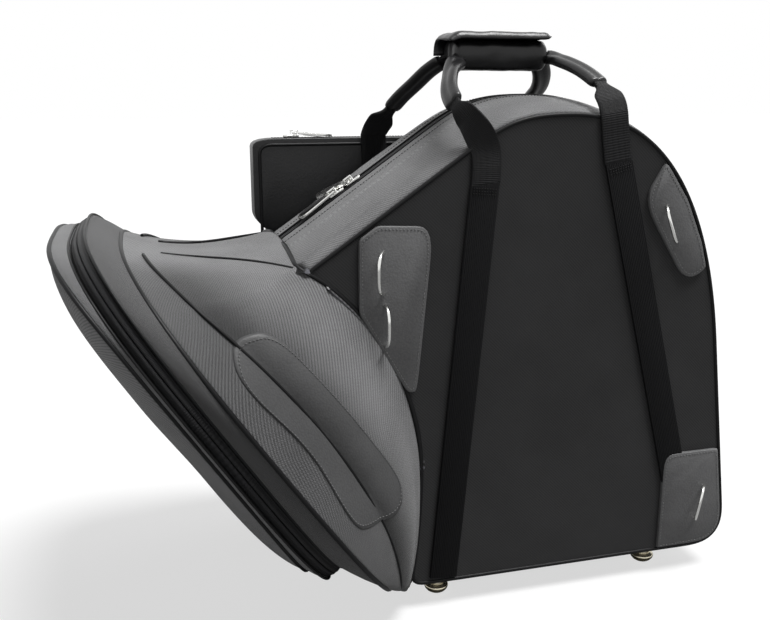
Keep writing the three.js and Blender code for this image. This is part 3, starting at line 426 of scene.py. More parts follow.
def leather(name, colour, grain, depth, roughness, coat=0.0):
    """Leather: pebbles with fine creases between them, rubbed paler on top"""
    board = Board(name)
    where = board.place()
    inputs = {"Vector": where, "Scale": grain, "Randomness": 1.0}
    pebbles = board.node("ShaderNodeTexVoronoi", {"feature": "F1"}, inputs, "Distance")
    creases = board.cloud(where, scale=grain * 0.35, detail=5.0)
    broad = board.cloud(where, scale=12.0, detail=3.0)
    rub = board.cloud(where, scale=45.0, detail=5.0)
    height = (1.0 - pebbles) * depth + creases * (depth * 0.8) + broad * 0.0009
    paint = board.blend(rub * 0.6 + (1.0 - pebbles) * 0.4, shade(colour, 0.7), shade(colour, 1.3))
    roughness = roughness + 0.22 * (rub - 0.5)
    return board.finish(
        paint, roughness, height, coat_weight=coat, coat_roughness=0.3, specular_ior_level=0.35
    )


def metal(name, colour, roughness):
    """Polished metal with faint handling marks"""
    board = Board(name)
    where = board.place()
    marks = board.cloud(where, scale=240.0, detail=6.0)
    haze = board.cloud(where, scale=60.0, detail=3.0)
    paint = board.blend(haze, shade(colour, 0.9), shade(colour, 1.05))
    return board.finish(paint, roughness + 0.14 * (marks - 0.4), marks * 0.00002, 1.0)


def moulded(name, colour, roughness, pitch=0.0):
    """Moulded plastic or cord, matt, with fine ribs where it has them"""
    board = Board(name)
    where = board.place()
    fine = board.cloud(where, scale=500.0, detail=3.0)
    height = fine * 0.00006
    if pitch:
        across = board.apart(where, "Y")
        height = height + (across * (math.pi / pitch)).sine().size() * 0.0004
    paint = board.blend(board.cloud(where, scale=40.0, detail=4.0), shade(colour, 0.8), shade(colour, 1.2))
    return board.finish(paint, roughness + 0.15 * (fine - 0.5), height, specular_ior_level=0.2)


def plush(name, colour):
    """Short pile over foam"""
    board = Board(name)
    where = board.place()
    pile = board.cloud(where, scale=1400.0, detail=3.0)
    brushed = board.cloud(where, scale=18.0, detail=4.0)
    paint = board.blend(pile * 0.5 + brushed * 0.5, shade(colour, 0.6), shade(colour, 1.35))
    height = pile * 0.0005 + brushed * 0.0012
    return board.finish(paint, 0.9, height, sheen_weight=0.6, sheen_roughness=0.3)


def plywood(name):
    """Birch ply under the lining"""
    board = Board(name)
    grain = board.node("ShaderNodeMapping", None, {"Vector": board.place(), "Scale": (3.0, 40.0, 40.0)})
    streaks = board.cloud(grain, scale=6.0, detail=6.0)
    paint = board.blend(streaks, (0.28, 0.19, 0.11), (0.50, 0.38, 0.24))
    return board.finish(paint, 0.6 + 0.2 * streaks, streaks * 0.0002)


RIB_PITCH = 0.0016

# Materials by the names that the pieces ask for

FINISHES = {}


def make_finishes():
    """One material for each finish, in the colours and sizes that the user has set"""
    sizes = trim_sizes()
    colours = bpy.context.scene.horn_colours
    side = shade(colours.panel, 0.25)
    # The rim band's nylon is a darker copy of the flare's nylon: painted shade
    rim = shade(colours.panel, 0.35)
    made = FINISHES
    made["panel"] = woven(
        "side_nylon", side, sizes.weave * 0.8, False, sizes.dents * 1.5, relief=0.6, sheen=0.05
    )
    made["shell"] = woven(
        "flare_nylon", colours.panel, sizes.weave, True, sizes.dents * 1.4, relief=1.25, roughness=0.6
    )
    made["band"] = woven("rim_nylon_painted_shade", rim, sizes.weave, True, sizes.dents, roughness=0.6)
    made["webbing"] = ribbed_on_map("loop_webbing", colours.webbing, pitch=RIB_PITCH, depth=0.0003)
    leans = {"strap_front": FRONT_LEAN, "strap_front_far": FRONT_FAR_LEAN, "strap_rear": REAR_LEAN}
    for name, lean in leans.items():
        turn = (0.0, math.radians(-lean), 0.0)
        made[name] = ribbed(name + "_webbing", colours.webbing, turn, RIB_PITCH)
    made["leather"] = leather("patch_leather", colours.leather, 620.0, 0.00012, 0.52)
    # The wear patches' leather is a darker copy of the patch leather: painted shade
    made["wear"] = leather("wear_patch_leather_painted_shade", shade(colours.leather, 0.5), 620.0, 0.00012, 0.5)
    made["gloss"] = leather("grip_leather", shade(colours.gloss, 0.6), 420.0, 0.00008, 0.33, coat=0.1)
    made["pocket"] = leather("pocket_leather", shade(colours.gloss, 0.7), 500.0, 0.0001, 0.4, coat=0.1)
    made["coil"] = ribbed_on_map("zipper_coil", colours.tape, pitch=0.0013, depth=0.0004, roughness=0.5)
    made["piping"] = moulded("edge_piping", colours.piping, 0.45)
    made["thread"] = moulded("sewing_thread", colours.thread, 0.6)
    made["dark_thread"] = moulded("dark_thread", shade(colours.thread, 0.08), 0.6)
    made["nickel"] = metal("nickel_plate", colours.nickel, 0.16)
    made["brass"] = metal("pale_brass", colours.brass, 0.22)
    made["skid"] = moulded("skid_strip", colours.skid, 0.55, pitch=0.004)
    made["plush"] = plush("pile_lining", colours.plush)
    made["board"] = plywood("base_ply")


# Curves and outlines of the case, in X and Z or in space


def at(x, y, z):
    """A point of the case, moved to where the solids stand"""
    return Vector((x + SHIFT, y, z))


def ramp(value, low, high):
    """0 below low, 1 above high, and a soft rise between them"""
    t = min(1.0, max(0.0, (value - low) / (high - low)))
    return t * t * (3 - 2 * t)


def bezier(first, pull, push, last, count):
    """Points after the first on a curve between two points, drawn by two others"""
    points = []
    for step in range(1, count + 1):
        t = step / count
        s = 1 - t
        points.append(first * s**3 + pull * (3 * s * s * t) + push * (3 * s * t * t) + last * t**3)
    return points


def quadratic(first, middle, last, count):
    """Points after the first on a curve round a corner"""
    return bezier(first, first.lerp(middle, 2 / 3), last.lerp(middle, 2 / 3), last, count)


def straight(first, last, count):
    """Points after the first on a straight line"""
    return [first.lerp(last, step / count) for step in range(1, count + 1)]


def spread(rows, share):
    """The value at a share of the way through a row of vectors"""
    spot = share * (len(rows) - 1)
    low = min(int(spot), len(rows) - 2)
    return rows[low].lerp(rows[low + 1], spot - low)


def super_turn(angle, power):
    """Cosine and sine pushed out towards the corners of a square"""
    c = math.cos(angle)
    s = math.sin(angle)
    return math.copysign(abs(c) ** (2 / power), c), math.copysign(abs(s) ** (2 / power), s)


def body_outline():
    """From the front of the slope over the arch and the heel to the front of the bottom"""
    back_way = (HEEL - BACK).normalized()
    start = SLOPE_END - SLOPE_WAY * SLOPE_LONG
    heel_start = HEEL - back_way * HEEL_RADIUS
    heel_end = HEEL - Vector((HEEL_RADIUS, 0))
    points = [start]
    points += straight(start, SLOPE_END, 26)
    pull = SLOPE_END + SLOPE_WAY * SHOULDER_PULL
    points += bezier(SLOPE_END, pull, TOP - Vector((SHOULDER_PULL, 0)), TOP, 16)
    points += bezier(TOP, TOP + Vector((ARCH_PULL, 0)), BACK - back_way * BACK_PULL, BACK, 40)
    points += straight(BACK, heel_start, 28)
    points += quadratic(heel_start, HEEL, heel_end, 10)
    points += straight(heel_end, Vector((BOTTOM_FRONT_X, BOTTOM)), 34)
    return points


OUTLINE = body_outline()


def outline_normals(points):
    """The way out of the body at each point of its outline"""
    normals = []
    for spot in range(len(points)):
        before = points[max(spot - 1, 0)]
        after = points[min(spot + 1, len(points) - 1)]
        way = (after - before).normalized()
        normals.append(Vector((-way.y, way.x)))
    return normals


NORMALS = outline_normals(OUTLINE)


def crown_at(y):
    """How far the middle of the top stands above its edges"""
    share = min(1.0, abs(y) / HALF)
    return CROWN * (1 - share * share)


def crown_share(z):
    """The crown fades out down the back"""
    return ramp(z, BOTTOM + WALL, CROWN_FADE_Z)


def seam_points():
    """The seam between flare and body, from the top to the bottom"""
    span = SEAM_BULGE - SEAM_TOP
    pull = Vector((SEAM_TOP.x + span.x * 0.45, SEAM_TOP.y + span.y * 0.11))
    push = Vector((SEAM_BULGE.x, SEAM_TOP.y + span.y * 0.53))
    points = [SEAM_TOP.copy()] + bezier(SEAM_TOP, pull, push, SEAM_BULGE, 40)
    middle = Vector((SEAM_BULGE.x, (SEAM_BULGE.y + BOTTOM) / 2))
    return points + quadratic(SEAM_BULGE, middle, SEAM_FOOT, 20)


SEAM = seam_points()


def along_line(points, share):
    """A point of the plane at a share of the length of a line of points"""
    lengths = [0.0]
    for first, second in zip(points, points[1:]):
        lengths.append(lengths[-1] + (second - first).length)
    reach = share * lengths[-1]
    for spot in range(1, len(points)):
        if lengths[spot] >= reach - 1e-12:
            part = (reach - lengths[spot - 1]) / max(lengths[spot] - lengths[spot - 1], 1e-12)
            return points[spot - 1].lerp(points[spot], part)
    return points[-1].copy()


def seam_x(z):
    """Where the flare seam stands at a height"""
    if z >= SEAM_TOP.y:
        return SEAM_TOP.x
    for upper, lower in zip(SEAM, SEAM[1:]):
        if lower.y <= z <= upper.y:
            return upper.x + (lower.x - upper.x) * (upper.y - z) / max(upper.y - lower.y, 1e-9)
    return SEAM_FOOT.x


def ring_point(ring, turn, inset, forward, scale=1.0, slide=0.0):
    """A point of a tilted ring of the bell; turn 0 is its top and forward leads out of the bell"""
    upward, aside = super_turn(2 * math.pi * turn, ring["power"])
    up = upward * scale * ((ring["up"] if upward > 0 else ring["down"]) - inset) + slide
    tilt = ring["tilt"]
    return at(
        ring["x"] - math.sin(tilt) * up - math.cos(tilt) * forward,
        -aside * scale * (ring["side"] - inset),
        ring["z"] + math.cos(tilt) * up - math.sin(tilt) * forward,
    )


def lid_point(turn, inset, forward, scale=1.0):
    """A point of the lid's front, which stands further out at its top and foot"""
    c = math.cos(2 * math.pi * turn)
    more = LID_DEPTH_ENDS * c * c * scale
    return ring_point(ZIP_RING, turn, inset + LID_INSET, LID_DEPTH + forward + more, scale, LID_SLIDE)


def body_end_point(turn, inset, back):
    """Where the flare meets the body: an eighth of a turn for half the top or the bottom"""
    fold = 8 * (turn % 1.0)
    side = 1 if fold > 4 else -1
    fold = 8 - fold if fold > 4 else fold
    if fold <= 1:
        y = HALF * fold
        crown = crown_at(y)
        x = SEAM_TOP.x + SLOPE_NORMAL.x * crown
        x = x + (SEAM_TOP.x - x) * back
        z = SEAM_TOP.y + SLOPE_NORMAL.y * crown
    elif fold < 3:
        flat = along_line(SEAM, (fold - 1) / 2)
        x, y, z = flat.x, HALF, flat.y
    else:
        x, y, z = SEAM_FOOT.x, HALF * (4 - fold), BOTTOM
    high = SEAM_TOP.y - BOTTOM
    rise = BOTTOM + inset + (z - BOTTOM) * (high - 2 * inset) / high
    return at(x - GAP, side * y * (HALF - inset) / HALF, rise)


def signed_to(points, point):
    """Signed distance in a plane to a line of points, positive on its left"""
    best = None
    for first, second in zip(points, points[1:]):
        way = second - first
        part = min(1.0, max(0.0, (point - first).dot(way) / way.length_squared))
        away = point - (first + way * part)
        sign = 1.0 if way.x * (point.y - first.y) - way.y * (point.x - first.x) > 0 else -1.0
        if best is None or away.length < abs(best):
            best = sign * away.length
    return best


def flank_line():
    """The diagonal seam across the flare, seen from the side, drawn on past both ends"""
    top = Vector((-0.214, 0.330))
    foot = Vector((-0.008, 0.038))
    span = foot - top
    pull = Vector((top.x + span.x * 0.55, top.y + span.y * 0.27))
    push = Vector((foot.x - span.x * 0.06, foot.y - span.y * 0.31))
    line = [top + Vector((-0.1, 0.034)), top] + bezier(top, pull, push, foot, 24)
    return line + [foot + Vector((0, -0.1))]


FLANK_LINE = flank_line()

# The flank swells above its diagonal seam: most at a third of the width, and not near its ends

PUFF_WIDE = 0.075
PUFF_DEEP = 0.01
PUFF_LEVEL = 27 / 4

# Share of the flare at which it has reached the body; from there only its top runs on, back to the seam

FLARE_MAIN = 0.96


def above_flank(point):
    """How far a point lies above the diagonal seam, seen from the side"""
    return signed_to(FLANK_LINE, Vector((point.x - SHIFT, point.z)))


def flare_point(turn, share, out=0.0):
    """A point of the flare: share 0 at the rim band, 1 at the body"""
    share = min(max(share, 0.0), 1.0)
    first = ring_point(START_RING, turn, -out, 0.0)
    if share >= FLARE_MAIN:
        return body_end_point(turn, -out, (share - FLARE_MAIN) / (1 - FLARE_MAIN))
    share = share / FLARE_MAIN
    angle = 2 * math.pi * turn
    swell = 4 * share * (1 - share)
    mixed = first.lerp(body_end_point(turn, -out, 0.0), share)
    mixed.y -= math.sin(angle) * FLARE_BULGE * swell
    mixed.z -= max(0.0, math.cos(angle)) * NECK_DIP * swell
    above = above_flank(mixed) / PUFF_WIDE
    if 0 < above < 1:
        full = max(0.0, 1.6 * swell - 0.6)
        mixed.y -= math.sin(angle) * PUFF_DEEP * PUFF_LEVEL * above * (1 - above) ** 2 * full
    return mixed


# Meshes


def finish_piece(name, mesh, finish, body, nodes=(), smooth=True):
    """Makes a mesh a piece: its finishes, its body and the solids that it stands for"""
    if bpy.data.objects.get(name) is not None:
        raise RuntimeError(f"{name} is made twice")
    piece = bpy.data.objects.new(name, mesh)
    bpy.context.scene.collection.objects.link(piece)
    for entry in finish if isinstance(finish, list) else [finish]:
        mesh.materials.append(FINISHES[entry])
    for face in mesh.polygons:
        face.use_smooth = smooth
    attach(piece, body)
    if nodes:
        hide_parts(*nodes)
    return piece


def grid(place, across, along, wide, long, wrap=False):
    """A sheet of faces laid on a surface: place gives a point for two shares, wide and long are
    the sheet's own size for its map, and wrap closes it across"""
    bm = bmesh.new()
    bmesh.ops.create_grid(bm, x_segments=across, y_segments=along, size=1.0, calc_uvs=True)
    uv = bm.loops.layers.uv.verify()
    spots = {}
    for vert in bm.verts:
        spots[vert.index] = ((vert.co.x + 1) / 2, (vert.co.y + 1) / 2)
    for face in bm.faces:
        for loop in face.loops:
            u, v = spots[loop.vert.index]
            loop[uv].uv = (u * wide, v * long)
    for vert in bm.verts:
        vert.co = place(*spots[vert.index])
    if wrap:
        seam = [v for v in bm.verts if spots[v.index][0] < 1e-6 or spots[v.index][0] > 1 - 1e-6]
        bmesh.ops.remove_doubles(bm, verts=seam, dist=1e-6)
    return bm


def weld(bm):
    """Joins points that lie on each other"""
    bmesh.ops.remove_doubles(bm, verts=bm.verts, dist=1e-6)


def close_ends(bm):
    """Caps the open ends of a tube"""
    edges = [edge for edge in bm.edges if edge.is_boundary]
    bmesh.ops.holes_fill(bm, edges=edges, sides=0)


def outward(bm):
    """Turns all faces of a closed form outwards"""
    bmesh.ops.recalc_face_normals(bm, faces=bm.faces)


def flip_to(bm, middle):
    """Turns a sheet so that its faces look away from a point inside"""
    total = 0.0
    bm.normal_update()
    for face in bm.faces:
        total += face.normal.dot(face.calc_center_median() - middle)
    if total < 0:
        bmesh.ops.reverse_faces(bm, faces=bm.faces)


def thicken(piece, thick, inner=0):
    """Gives a sheet its wall, inwards; inner counts on to the material of the inside"""
    wall = piece.modifiers.new("Wall", "SOLIDIFY")
    wall.thickness = thick
    wall.offset = -1.0
    wall.use_even_offset = False
    wall.material_offset = inner


def lined(name, bm, inside, body, nodes=(), thick=COVER_THICK):
    """A fabric cover with plush on its inner face; inside is a point behind it"""
    outward(bm)
    flip_to(bm, inside)
    piece = finish_piece(name, to_mesh(bm, name), ["shell", "plush"], body, nodes)
    thicken(piece, thick, 1)
    return piece


def to_mesh(bm, name):
    """Ends the work on a bmesh and keeps it as a mesh"""
    mesh = bpy.data.meshes.new(name)
    bm.to_mesh(mesh)
    bm.free()
    return mesh


def soften(bm, depth, scale, seed):
    """Shallow hollows and swellings of a padded wall"""
    bm.normal_update()
    moves = []
    for vert in bm.verts:
        lift = noise.noise(vert.co * scale + Vector((seed, seed * 0.37, -seed)))
        lift += 0.4 * noise.noise(vert.co * scale * 2.3 + Vector((-seed, seed, seed * 0.61)))
        edge = 0.0 if vert.is_boundary else 1.0
        moves.append(vert.normal * (lift * depth * edge))
    for vert, move in zip(bm.verts, moves):
        vert.co += move


def stops_along(points, closed, hint):
    """For each point of a path: the point, its side and its up direction, which keeps to the hint"""
    count = len(points)
    stops = []
    up = None
    for spot, point in enumerate(points):
        before = points[(spot - 1) % count] if closed else points[max(spot - 1, 0)]
        after = points[(spot + 1) % count] if closed else points[min(spot + 1, count - 1)]
        way = (after - before).normalized()
        if hint is not None:
            lean = hint(spot) if callable(hint) else hint
        elif up is not None:
            lean = up
        else:
            lean = Vector((0, 0, 1)) if abs(way.z) < 0.9 else Vector((1, 0, 0))
        up = (lean - way * lean.dot(way)).normalized()
        stops.append((point, way.cross(up), up))
    return stops


def path_length(points):
    """The length of a path"""
    return sum((b - a).length for a, b in zip(points, points[1:]))


def swept(stops, section, sides, girth, closed=False):
    """A closed section carried along stops; section gives a point for a turn and a share of the way"""
    count = len(stops)
    steps = count if closed else count - 1

    def place(u, v):
        point, side, up = stops[int(round(v * steps)) % count]
        a, b = section(u, v)
        return point + side * a + up * b

    length = path_length([stop[0] for stop in stops])
    bm = grid(place, sides, steps, girth, length, wrap=True)
    if closed:
        weld(bm)
    else:
        close_ends(bm)
    outward(bm)
    return bm


class Section:
    """The outline of a swept piece: a rounded oblong, round when its sides are equal"""

    def __init__(self, wide, thick, power=2.0, change=None, waist=0.0):
        self.wide = wide
        self.thick = thick
        self.power = power
        self.change = change
        self.waist = waist
        self.girth = 2 * (wide + thick)

    def __call__(self, u, v):
        wide, thick = self.change(v) if self.change else (self.wide, self.thick)
        angle = 2 * math.pi * u
        a, b = super_turn(angle, self.power)
        waist = 1 - self.waist * (1 - abs(math.cos(angle))) ** 3
        return a * wide / 2, b * thick / 2 * waist


def tube(name, points, radius, body, closed=False, hint=None):
    """A round cord of piping along a path"""
    section = Section(radius * 2, radius * 2)
    bm = swept(stops_along(points, closed, hint), section, 8, section.girth, closed)
    return finish_piece(name, to_mesh(bm, name), "piping", body)


def even(points, pitch, closed=False):
    """Points at an even pitch along a path"""
    line = list(points) + ([points[0]] if closed else [])
    length = path_length(line)
    count = max(1, int(round(length / pitch)))
    marks = []
    travelled = 0.0
    target = 0.0
    for first, second in zip(line, line[1:]):
        span = (second - first).length
        while target <= travelled + span + 1e-9 and len(marks) < count + (0 if closed else 1):
            part = (target - travelled) / max(span, 1e-12)
            marks.append(first.lerp(second, min(part, 1.0)))
            target += length / count
        travelled += span
    return marks


def eased(points, rounds, closed=False):
    """A path with its kinks drawn out; the ends of an open path stay"""
    for _ in range(rounds):
        line = points[-1:] + points + points[:1] if closed else points
        inner = [(a + b * 2 + c) / 4 for a, b, c in zip(line, line[1:], line[2:])]
        points = inner if closed else points[:1] + inner + points[-1:]
    return points


# Half a stitch as a share of the pitch

STITCH_HALF = 0.36


def stitches(name, paths, body, finish="thread", pitch=None, up=None):
    """Small thread beads in a row along each path"""
    sizes = trim_sizes()
    pitch = pitch or sizes.stitch
    bm = bmesh.new()
    for path in paths:
        marks = even(path, pitch)
        for first, second in zip(marks, marks[1:]):
            way = (second - first).normalized()
            across = way.orthogonal().normalized() if up is None else way.cross(up).normalized()
            high = across.cross(way)
            turn = Matrix((way, across, high)).transposed().to_4x4()
            middle = Matrix.Translation(first.lerp(second, 0.5))
            shape = Matrix.Diagonal((pitch * STITCH_HALF, sizes.thread, sizes.thread, 1.0))
            bmesh.ops.create_icosphere(bm, subdivisions=1, radius=1.0, matrix=middle @ turn @ shape)
    return finish_piece(name, to_mesh(bm, name), finish, body)


def welded_copy(node):
    """A copy of a solid's mesh, and the same with its points joined"""
    mesh = frame["nodes"][node].data.copy()
    mesh.materials.clear()
    bm = bmesh.new()
    bm.from_mesh(mesh)
    weld(bm)
    return mesh, bm


def dressed(node, finish, body, edge, segments, angle=30.0):
    """A welded copy of a solid with its edges rounded"""
    mesh, bm = welded_copy(node)
    bmesh.ops.dissolve_limit(
        bm, angle_limit=math.radians(1.0), verts=bm.verts, edges=bm.edges, use_dissolve_boundaries=False
    )
    joined = [e for e in bm.edges if len(e.link_faces) == 2]
    sharp = [e for e in joined if e.calc_face_angle(0.0) > math.radians(angle)]
    bmesh.ops.bevel(
        bm, geom=sharp, offset=edge, offset_type="OFFSET", segments=segments, profile=0.5,
        affect="EDGES", material=-1, clamp_overlap=True,
    )
    bmesh.ops.triangulate(bm, faces=bm.faces)
    bm.to_mesh(mesh)
    bm.free()
    piece = finish_piece(node + "_dressed", mesh, finish, body, [node])
    piece.data.shade_smooth()
    mark_sharp(piece.data, 40.0)
    return piece


def mark_sharp(mesh, degrees):
    """Keeps edges crisp in the shading where faces meet at more than an angle"""
    bm = bmesh.new()
    bm.from_mesh(mesh)
    for edge in bm.edges:
        edge.smooth = len(edge.link_faces) != 2 or edge.calc_face_angle(0.0) < math.radians(degrees)
    bm.to_mesh(mesh)
    bm.free()


# Body of the case


GUSSET_FRONT_X = -0.0775
GUSSET_FRONT_CROWN = 0.009


def gusset_start(y):
    """Where on the outline the padded band begins at a distance from the middle"""
    crown = crown_at(y)
    reach = min(1.0, crown / GUSSET_FRONT_CROWN)
    return GUSSET_FRONT_X + (SEAM_TOP.x - GUSSET_FRONT_X) * reach + SLOPE_WAY.y * crown


def outline_between(first_x, last_z):
    """The part of the outline from a place on the slope to a height on the back"""
    points = []
    normals = []
    started = False
    for spot, point in enumerate(OUTLINE):
        if not started:
            if point.x <= first_x:
                continue
            before = OUTLINE[spot - 1]
            part = (first_x - before.x) / (point.x - before.x)
            points.append(before.lerp(point, part))
            normals.append(NORMALS[spot])
            started = True
        if point.x > BACK.x - 0.02 and point.y < last_z:
            before = OUTLINE[spot - 1]
            part = (before.y - last_z) / max(before.y - point.y, 1e-9)
            points.append(before.lerp(point, part))
            normals.append(NORMALS[spot])
            break
        points.append(point)
        normals.append(NORMALS[spot])
    return points, normals


def body_surface(y, share, lift=0.0, last_z=HEEL_SEAM_Z):
    """A point of the padded band: share 0 at the flare, 1 at the height last_z on the back"""
    points, normals = outline_between(gusset_start(y), last_z)
    point = spread(points, share)
    normal = spread(normals, share).normalized()
    out = crown_at(y) * crown_share(point.y) + lift
    return at(point.x + normal.x * out, y, point.y + normal.y * out)


GUSSET_ROWS = 18


def make_gusset(name, side):
    """The padded band from a side panel to the main zipper"""
    span = GUSSET_HALF - ZIP_HALF
    rows = [GUSSET_HALF - span * step / GUSSET_ROWS for step in range(GUSSET_ROWS + 1)]

    def place(u, v):
        return body_surface(side * rows[int(round(u * GUSSET_ROWS))], v)

    bm = grid(place, GUSSET_ROWS, 120, wide=0.086, long=0.62)
    soften(bm, depth=0.0011, scale=13.0, seed=3.0 + side)
    inside = Vector((0.1 + SHIFT, 0.0, 0.2))
    lined(f"gusset_{name}_cover", bm, inside, BODY, [f"gusset_{name}"])


def panel_outline(inset):
    """Edge of the flat side panel, with the seam of the flare as its front"""
    points = []
    for point, normal in zip(OUTLINE, NORMALS):
        inner = point - normal * inset
        if inner.x > seam_x(inner.y) + inset and inner.x > SEAM_FOOT.x - 0.1:
            points.append(inner)
    for point in reversed(SEAM):
        if points[0].y - 0.001 > point.y > BOTTOM + inset + 0.001:
            points.append(point + Vector((min(inset, 0.0006), 0)))
    return points


PANEL_PITCH = 0.003
PIPING_PITCH = 0.004
PIPING_SUNK = 0.0006
PIPING_IN = 0.0012


def make_panel(name, side):
    """The flat side panel with the piping round it"""
    outline = [Vector((p.x, p.y, 0)) for p in panel_outline(PANEL_EDGE * 0.6)]
    outline = even(outline, PANEL_PITCH, True)
    bm = bmesh.new()
    face = bm.faces.new([bm.verts.new(at(p.x, side * HALF, p.y)) for p in outline])
    made = bmesh.ops.extrude_face_region(bm, geom=[face], use_keep_orig=True)
    inner = [g for g in made["geom"] if isinstance(g, bmesh.types.BMVert)]
    bmesh.ops.translate(bm, verts=inner, vec=Vector((0, -side * COVER_THICK, 0)))
    for entry in made["geom"]:
        # Only the inner cap is lined; the narrow side faces keep the outer cloth
        if isinstance(entry, bmesh.types.BMFace) and len(entry.verts) > 4:
            entry.material_index = 1
    outward(bm)
    node = f"side_panel_{name}"
    mesh = to_mesh(bm, node)
    finish_piece(node + "_cover", mesh, ["panel", "plush"], BODY, [node], smooth=False)
    edge = [at(p.x, side * (HALF - PIPING_SUNK), p.y) for p in panel_outline(PIPING_IN)]
    path = eased(even(edge, PIPING_PITCH, True), 3, True)
    tube(f"panel_piping_{name}", path, trim_sizes().piping, BODY, closed=True)


def make_bottom():
    """The bottom with its rounded heel, up to the seam on the back"""
    flat = [p for p in OUTLINE if p.x > 0.2 and p.y < HEEL_SEAM_Z or p.y <= BOTTOM + 1e-6]
    flat = [p for p in flat if p.x >= SEAM_FOOT.x]

    def place(u, v):
        point = spread(flat, v)
        return at(point.x, (2 * u - 1) * GUSSET_HALF, point.y)

    bm = grid(place, 12, 48, wide=2 * GUSSET_HALF, long=0.34)
    inside = Vector((0.15 + SHIFT, 0.0, 0.2))
    lined("bottom_cover", bm, inside, BODY, ["bottom_panel"])
    heel = outline_between(0.0, HEEL_SEAM_Z)[0][-1]
    reach = HALF - 0.002
    seam = [at(heel.x, -reach + 2 * reach * step / 40, heel.y) for step in range(41)]
    tube("heel_welt", seam, trim_sizes().welt, BODY)


def make_zip_bed():
    """The closed part of the back below the zipper"""
    def place(u, v):
        z = ZIP_END_Z + (HEEL_SEAM_Z - ZIP_END_Z) * v
        points, normals = outline_between(0.0, z)
        point = points[-1] + normals[-1] * (crown_share(z) * crown_at(0.0))
        return at(point.x, (2 * u - 1) * ZIP_HALF, point.y)

    bm = grid(place, 4, 16, wide=2 * ZIP_HALF, long=0.06)
    lined("zip_bed_cover", bm, Vector((0.15 + SHIFT, 0.0, 0.08)), BODY)


# Flare, rim and lid


def band_loops(back, front, swell, outer, inner):
    """Corners of a band's section between two rings: swelling outside and straight inside"""
    def between(turn, inset, share):
        return back(turn, inset).lerp(front(turn, inset), share)

    loops = [lambda u, s=s: between(u, -swell * math.sin(math.pi * s), s) for s in outer]
    return loops + [lambda u, s=s: between(u, WALL, s) for s in inner]


def ring_band(name, loops, finish, body, node):
    """A band that closes on itself; loops are the corners of its section"""
    count = len(loops)

    def place(u, v):
        return loops[int(round(v * count)) % count](u)

    bm = grid(place, 144, count, wide=1.08, long=0.02 * count, wrap=True)
    weld(bm)
    outward(bm)
    finish_piece(name, to_mesh(bm, name), finish, body, [node])


# How much painted shade darkens the flare cloth in its three shaded places

HOLLOW_DARK = 0.92
BELOW_DARK = 0.62
FOOT_DARK = 0.65
HOLLOW_FADE = (0.004, 0.05)
SIDE_FADE = (0.05, 0.10)
FOOT_FADE = (0.03, 0.14)


def paint_flare_shade(bm):
    """Painted shade on the flare cloth: in the hollow above the diagonal seams, below them and towards the
    foot
    """
    layer = bm.verts.layers.float.new("dark")
    for vert in bm.verts:
        level = above_flank(vert.co)
        side = ramp(abs(vert.co.y), *SIDE_FADE)
        hollow = HOLLOW_DARK * (1 - ramp(level, *HOLLOW_FADE)) if level > 0 else BELOW_DARK
        foot = FOOT_DARK * (1 - ramp(vert.co.z, *FOOT_FADE))
        vert[layer] = max(hollow * side, foot)


FLARE_INSIDE = Vector((-0.06 + SHIFT, 0.0, 0.17))
FLARE_NODES = ["flare_top", "flare_flank_near", "flare_flank_far", "flare_lower_near", "flare_lower_far"]


def make_flare():
    """The whole flare in one skin, from the rim band to the body"""
    bm = grid(flare_point, 176, 52, wide=1.0, long=0.2, wrap=True)
    soften(bm, depth=0.0022, scale=9.0, seed=7.0)
    # Painted shade, kept in the mesh's dark attribute
    paint_flare_shade(bm)
    return lined("flare_cover", bm, FLARE_INSIDE, BODY, FLARE_NODES, WALL / 3)


# Shares of the flare between which its seams are looked for

CROSS_FIRST = 0.02
CROSS_SPAN = 0.935
CROSS_STEPS = 48
CROSS_HALVINGS = 13


def crossings(test, turn):
    """The shares of the way along the flare where a seam crosses it"""
    marks = [CROSS_FIRST + CROSS_SPAN * step / CROSS_STEPS for step in range(CROSS_STEPS + 1)]
    signs = [test(flare_point(turn, share)) > 0 for share in marks]
    found = []
    for spot in range(CROSS_STEPS):
        if signs[spot] == signs[spot + 1]:
            continue
        low, high = marks[spot], marks[spot + 1]
        for _ in range(CROSS_HALVINGS):
            middle = (low + high) / 2
            if (test(flare_point(turn, middle)) > 0) == signs[spot]:
                low = middle
            else:
                high = middle
        found.append(low)
    return found


def strip_line():
    """The edge of the top strip, seen from above, drawn on past both ends"""
    throat = Vector((-0.188, 0.031))
    rear = Vector((SEAM_TOP.x, HALF))
    middle = Vector(((SEAM_TOP.x + throat.x) / 2, throat.y))
    mouth = Vector((-0.206, 0.068))
    line = [rear + Vector((0.2, 0)), rear] + quadratic(rear, middle, throat, 16)
    return line + [mouth, mouth + Vector((-0.1, 0))]


# Steps of a turn at which the seams are looked for, and how far the welt stands out of the cloth

SEAM_STEPS = 333
SEAM_STEPS_TOP = 46
SEAM_STEPS_SIDE = 165
DIAGONAL_OUT = 0.0016
DIAGONAL_END_Y = 0.05


def flare_seams(side):
    """Paths of the two seams across one side of the flare"""
    strip = strip_line()

    def strip_test(point):
        return signed_to(strip, Vector((point.x - SHIFT, abs(point.y))))

    diagonal, top = [], []
    for step in range(2, SEAM_STEPS_SIDE):
        turn = step / SEAM_STEPS if side < 0 else 1 - step / SEAM_STEPS
        shares = crossings(above_flank, turn)
        if shares:
            diagonal.append(flare_point(turn, shares[-1], DIAGONAL_OUT))
        shares = crossings(strip_test, turn) if step < SEAM_STEPS_TOP else []
        if shares:
            top.append(flare_point(turn, shares[-1], -GAP))
    return [p for p in diagonal if abs(p.y) > DIAGONAL_END_Y], top


DIAGONAL_PITCH = 0.006
STRIP_PITCH = 0.005

# Half of the body seam as a part of a turn

BODY_SEAM_FIRST = 0.002
BODY_SEAM_SPAN = 0.497
BODY_SEAM_STEPS = 70

# Room in the body seam for the lower slider's pull at the end of its run

